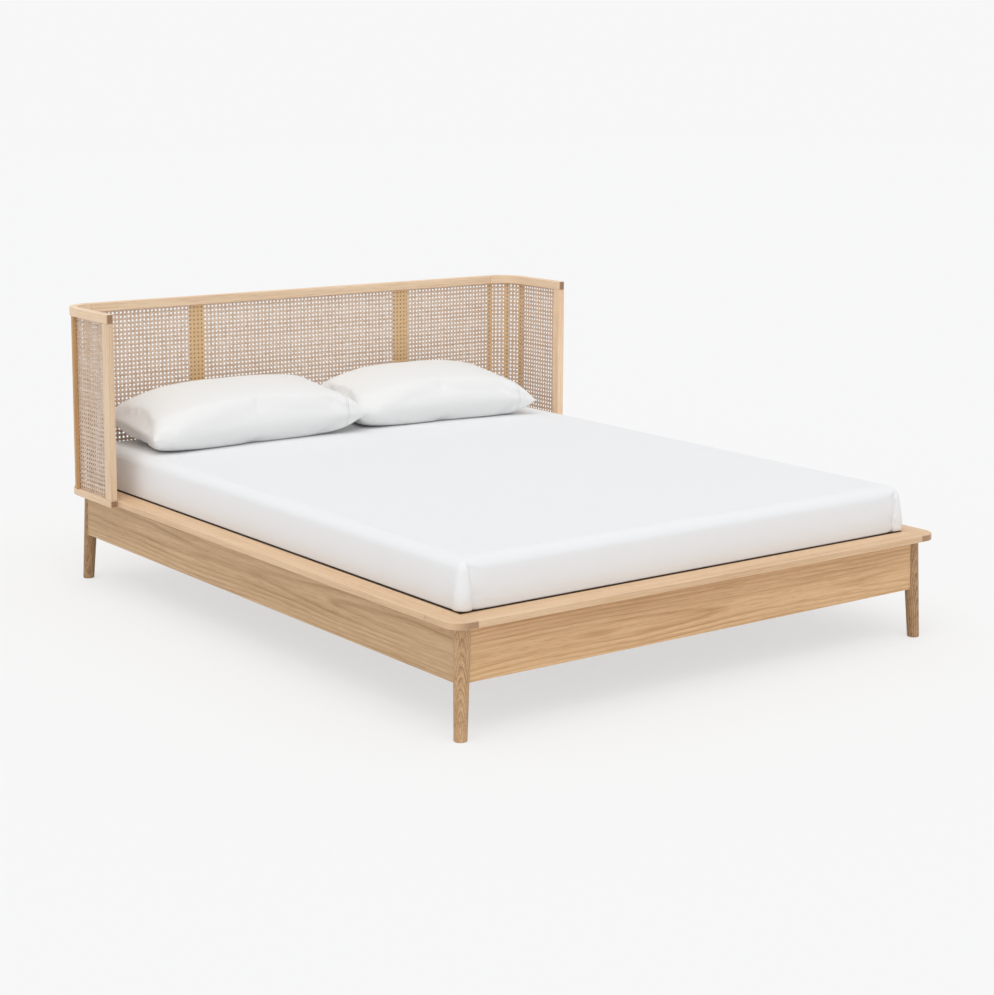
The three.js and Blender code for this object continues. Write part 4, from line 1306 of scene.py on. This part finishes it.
# Painted shade: a mask for the band of sheet just below the ledge's top.
slot_shade = smoothstep((0.3165 - points[:, 2]) / 0.002) * smoothstep((points[:, 2] - 0.303) / 0.005)
name = "mattress"
soft_piece(f"sheeted_{name}", points, faces, sheet_cotton, name, name, slot_shade=slot_shade)
print("mattress", len(faces), "faces")

# %% [markdown]
# ## Pillows
#
# A pillow is two flat sheets that are sewn together and filled. Its corners
# stay flat and pointed while the middle rises. The case starts as a full form
# that is a little too small, and a cloth simulation swells it by pressure. The
# open end of the case is a hem past the filling, so the pressure leaves it out
# and it stays a flat flap. The short folds along the seams are finer than the
# simulated cloth, so they are added after it.

# %% Pillows
# Each pillow: its size, how far it is turned, where its middle lies, which of
# its faces is up, and how far its open end droops.
PILLOWS = {
    "left": ((0.770, 0.400, 0.180), 0.0, (-0.3830, 0.834), 1, -0.014),
    "right": ((0.690, 0.400, 0.174), math.radians(-4), (0.3560, 0.822), -1, 0.014),
}
CLOSED_DROOP = 0.018
PILLOW_SINK = 0.014
PILLOW_TILT = math.radians(6)
START = (0.775, 0.400, 0.150)
HEM = 0.080
GIVE = 0.022


def pillow_start(across=104, deep=60):
    """Two grids that share their rim. Above the seam z = t/2 * X(u) * Y(v), and
    below it 0.85 of that downward, where X is blunt at the closed end and tapers
    towards the open end, and Y is about the root of 1 - v^4. The closed end's
    corners are rounded in plan. Returns points, faces and each point's distance
    past the hem's seam."""
    width, depth, thick = START
    u, v = np.meshgrid(np.linspace(-1, 1, across + 1), np.linspace(-1, 1, deep + 1), indexing="ij")
    x = u * width / 2
    blunt = np.maximum(1 - np.abs(u) ** 2.5, 0) ** 0.66
    tapered = np.maximum(1 - np.abs(u) ** 2.8, 0) ** 0.80
    over = np.maximum(1 - v**4, 0) ** 0.45
    lift = thick / 2 * np.where(u < 0, blunt, tapered) * over
    narrow = 1 - 0.13 * smoothstep((-u - 0.78) / 0.22) - 0.03 * (1 - u**2)
    y = v * depth / 2 * narrow
    inside = np.zeros(u.shape, bool)
    inside[1:-1, 1:-1] = True
    above = np.arange(u.size).reshape(u.shape)
    below = above.copy()
    below[inside] = u.size + np.arange(inside.sum())
    top = np.stack([x, y, lift], axis=-1)
    under = top * np.array([1, 1, -0.85])
    rim = ~inside
    top[rim, 2] = 0
    points = np.concatenate([top.reshape(-1, 3), under[inside]])
    faces = quads_of(above).tolist() + quads_of(below)[:, ::-1].tolist()
    hem = points[:, 0] - (width / 2 - HEM)
    return points, faces, hem


def filled(points, faces, hem, pressure=4.0, frames=16):
    """Blows the case up with Blender's cloth and eases its dents. No point ends
    further than the give from its start. The flap past the hem gets no
    pressure."""
    mesh = bpy.data.meshes.new("filling")
    mesh.from_pydata(points.tolist(), [], faces)
    mesh.update()
    trial = bpy.data.objects.new("filling", mesh)
    bpy.context.scene.collection.objects.link(trial)
    holds = trial.vertex_groups.new(name="filled")
    for chosen, weight in ((hem <= 0, 1.0), (hem > 0, 0.0)):
        holds.add(np.nonzero(chosen)[0].tolist(), weight, "REPLACE")
    cloth = trial.modifiers.new("cloth", "CLOTH")
    cloth.settings.quality = 6
    cloth.settings.mass = 0.3
    cloth.settings.tension_stiffness = 12
    cloth.settings.compression_stiffness = 12
    cloth.settings.bending_stiffness = 1.5
    cloth.settings.tension_damping = 8
    cloth.settings.compression_damping = 8
    cloth.settings.shear_damping = 8
    cloth.settings.use_pressure = True
    cloth.settings.uniform_pressure_force = pressure
    cloth.settings.vertex_group_pressure = "filled"
    cloth.settings.effector_weights.gravity = 0
    cloth.collision_settings.use_collision = False
    ease = trial.modifiers.new("ease", "SMOOTH")
    ease.factor, ease.iterations = 0.5, 8
    cloth.point_cache.frame_start = 1
    cloth.point_cache.frame_end = frames
    for moment in range(1, frames + 1):
        bpy.context.scene.frame_set(moment)
    shown = trial.evaluated_get(bpy.context.evaluated_depsgraph_get()).to_mesh()
    moved = np.empty(len(shown.vertices) * 3)
    shown.vertices.foreach_get("co", moved)
    bpy.data.objects.remove(trial)
    bpy.data.meshes.remove(mesh)
    bpy.context.scene.frame_set(1)
    step = moved.reshape(-1, 3) - points
    far = np.linalg.norm(step, axis=1)
    print("cloth moved up to", round(float(far.max()), 4))
    return points + step * np.minimum(1, GIVE / np.maximum(far, 1e-9))[:, None]


def turned_by(points, axis, angle):
    """The points turned about one of the axes."""
    a, b = [(1, 2), (2, 0), (0, 1)][axis]
    out = points.copy()
    out[:, a] = math.cos(angle) * points[:, a] - math.sin(angle) * points[:, b]
    out[:, b] = math.sin(angle) * points[:, a] + math.cos(angle) * points[:, b]
    return out


def pressed(z, bed, softness=0.004):
    """What lies below the bed comes up onto it, and the rest hardly moves:
    bed + k * log(1 + exp((z - bed) / k))."""
    return bed + softness * np.logaddexp(0, (z - bed) / softness)


def gathers(points, hem):
    """Short soft folds that run in from the front and back seams and from the
    hem, and fade out over some 50 mm. Returns how far each point sinks."""
    x, y, z = points.T
    edge = np.abs(y) / (START[1] / 2)
    near = smoothstep((edge - 0.72) / 0.25) * np.exp(-((z / 0.05) ** 2))
    folds = np.sin(61 * x + 0.7) * np.sin(23 * x + 1.9) + 0.5 * np.sin(137 * x + 40 * y)
    ends = np.sin(74 * y + 0.4) * np.sin(31 * y + 1) + 0.4 * np.sin(151 * y)
    tail = np.exp(-((hem + 0.006) ** 2) / 0.03**2) * ends
    return 0.0010 * near * folds + 0.0016 * tail


points, faces, hem = pillow_start()
points = filled(points, faces, hem)
low, high = points.min(axis=0), points.max(axis=0)
print("filled case", np.round(high - low, 3).tolist())
form = points - (low + high) / 2
form[:, 2] += np.sign(form[:, 2]) * gathers(form, hem)
end = form[:, 0] / START[0] * 2
for name, (size, angle, middle, up, droop) in PILLOWS.items():
    sag = np.where(end < 0, CLOSED_DROOP, droop) * np.abs(end) ** 2.5
    place = form * [1, up, up] - sag[:, None] * [0, 0, 1]
    place = place / (high - low) * np.array(size)
    place = turned_by(turned_by(place, 0, PILLOW_TILT), 2, angle)
    place[:, :2] += middle - (place[:, :2].min(axis=0) + place[:, :2].max(axis=0)) / 2
    place[:, 2] += MATTRESS[4] - CROWN - PILLOW_SINK - place[:, 2].min()
    bed = MATTRESS[4] - crown_drop(place[:, 0], place[:, 1]) + 0.0006
    place[:, 2] = pressed(place[:, 2], bed)
    node = f"pillow_{name}"
    pillow = soft_piece(f"cased_{node}", place, faces, case_cotton, node, node, hem=hem)
    smooth = pillow.modifiers.new("smooth", "SUBSURF")
    smooth.levels = smooth.render_levels = 1
    print(node, np.round(place.min(axis=0), 3).tolist(), np.round(place.max(axis=0), 3).tolist())

# %% [markdown]
# ## Finish
#
# A dressed piece may round an edge of its solid but shouldn't outgrow it. The last step brings the view
# layer up to date.

# %% Finish
bpy.context.view_layer.update()
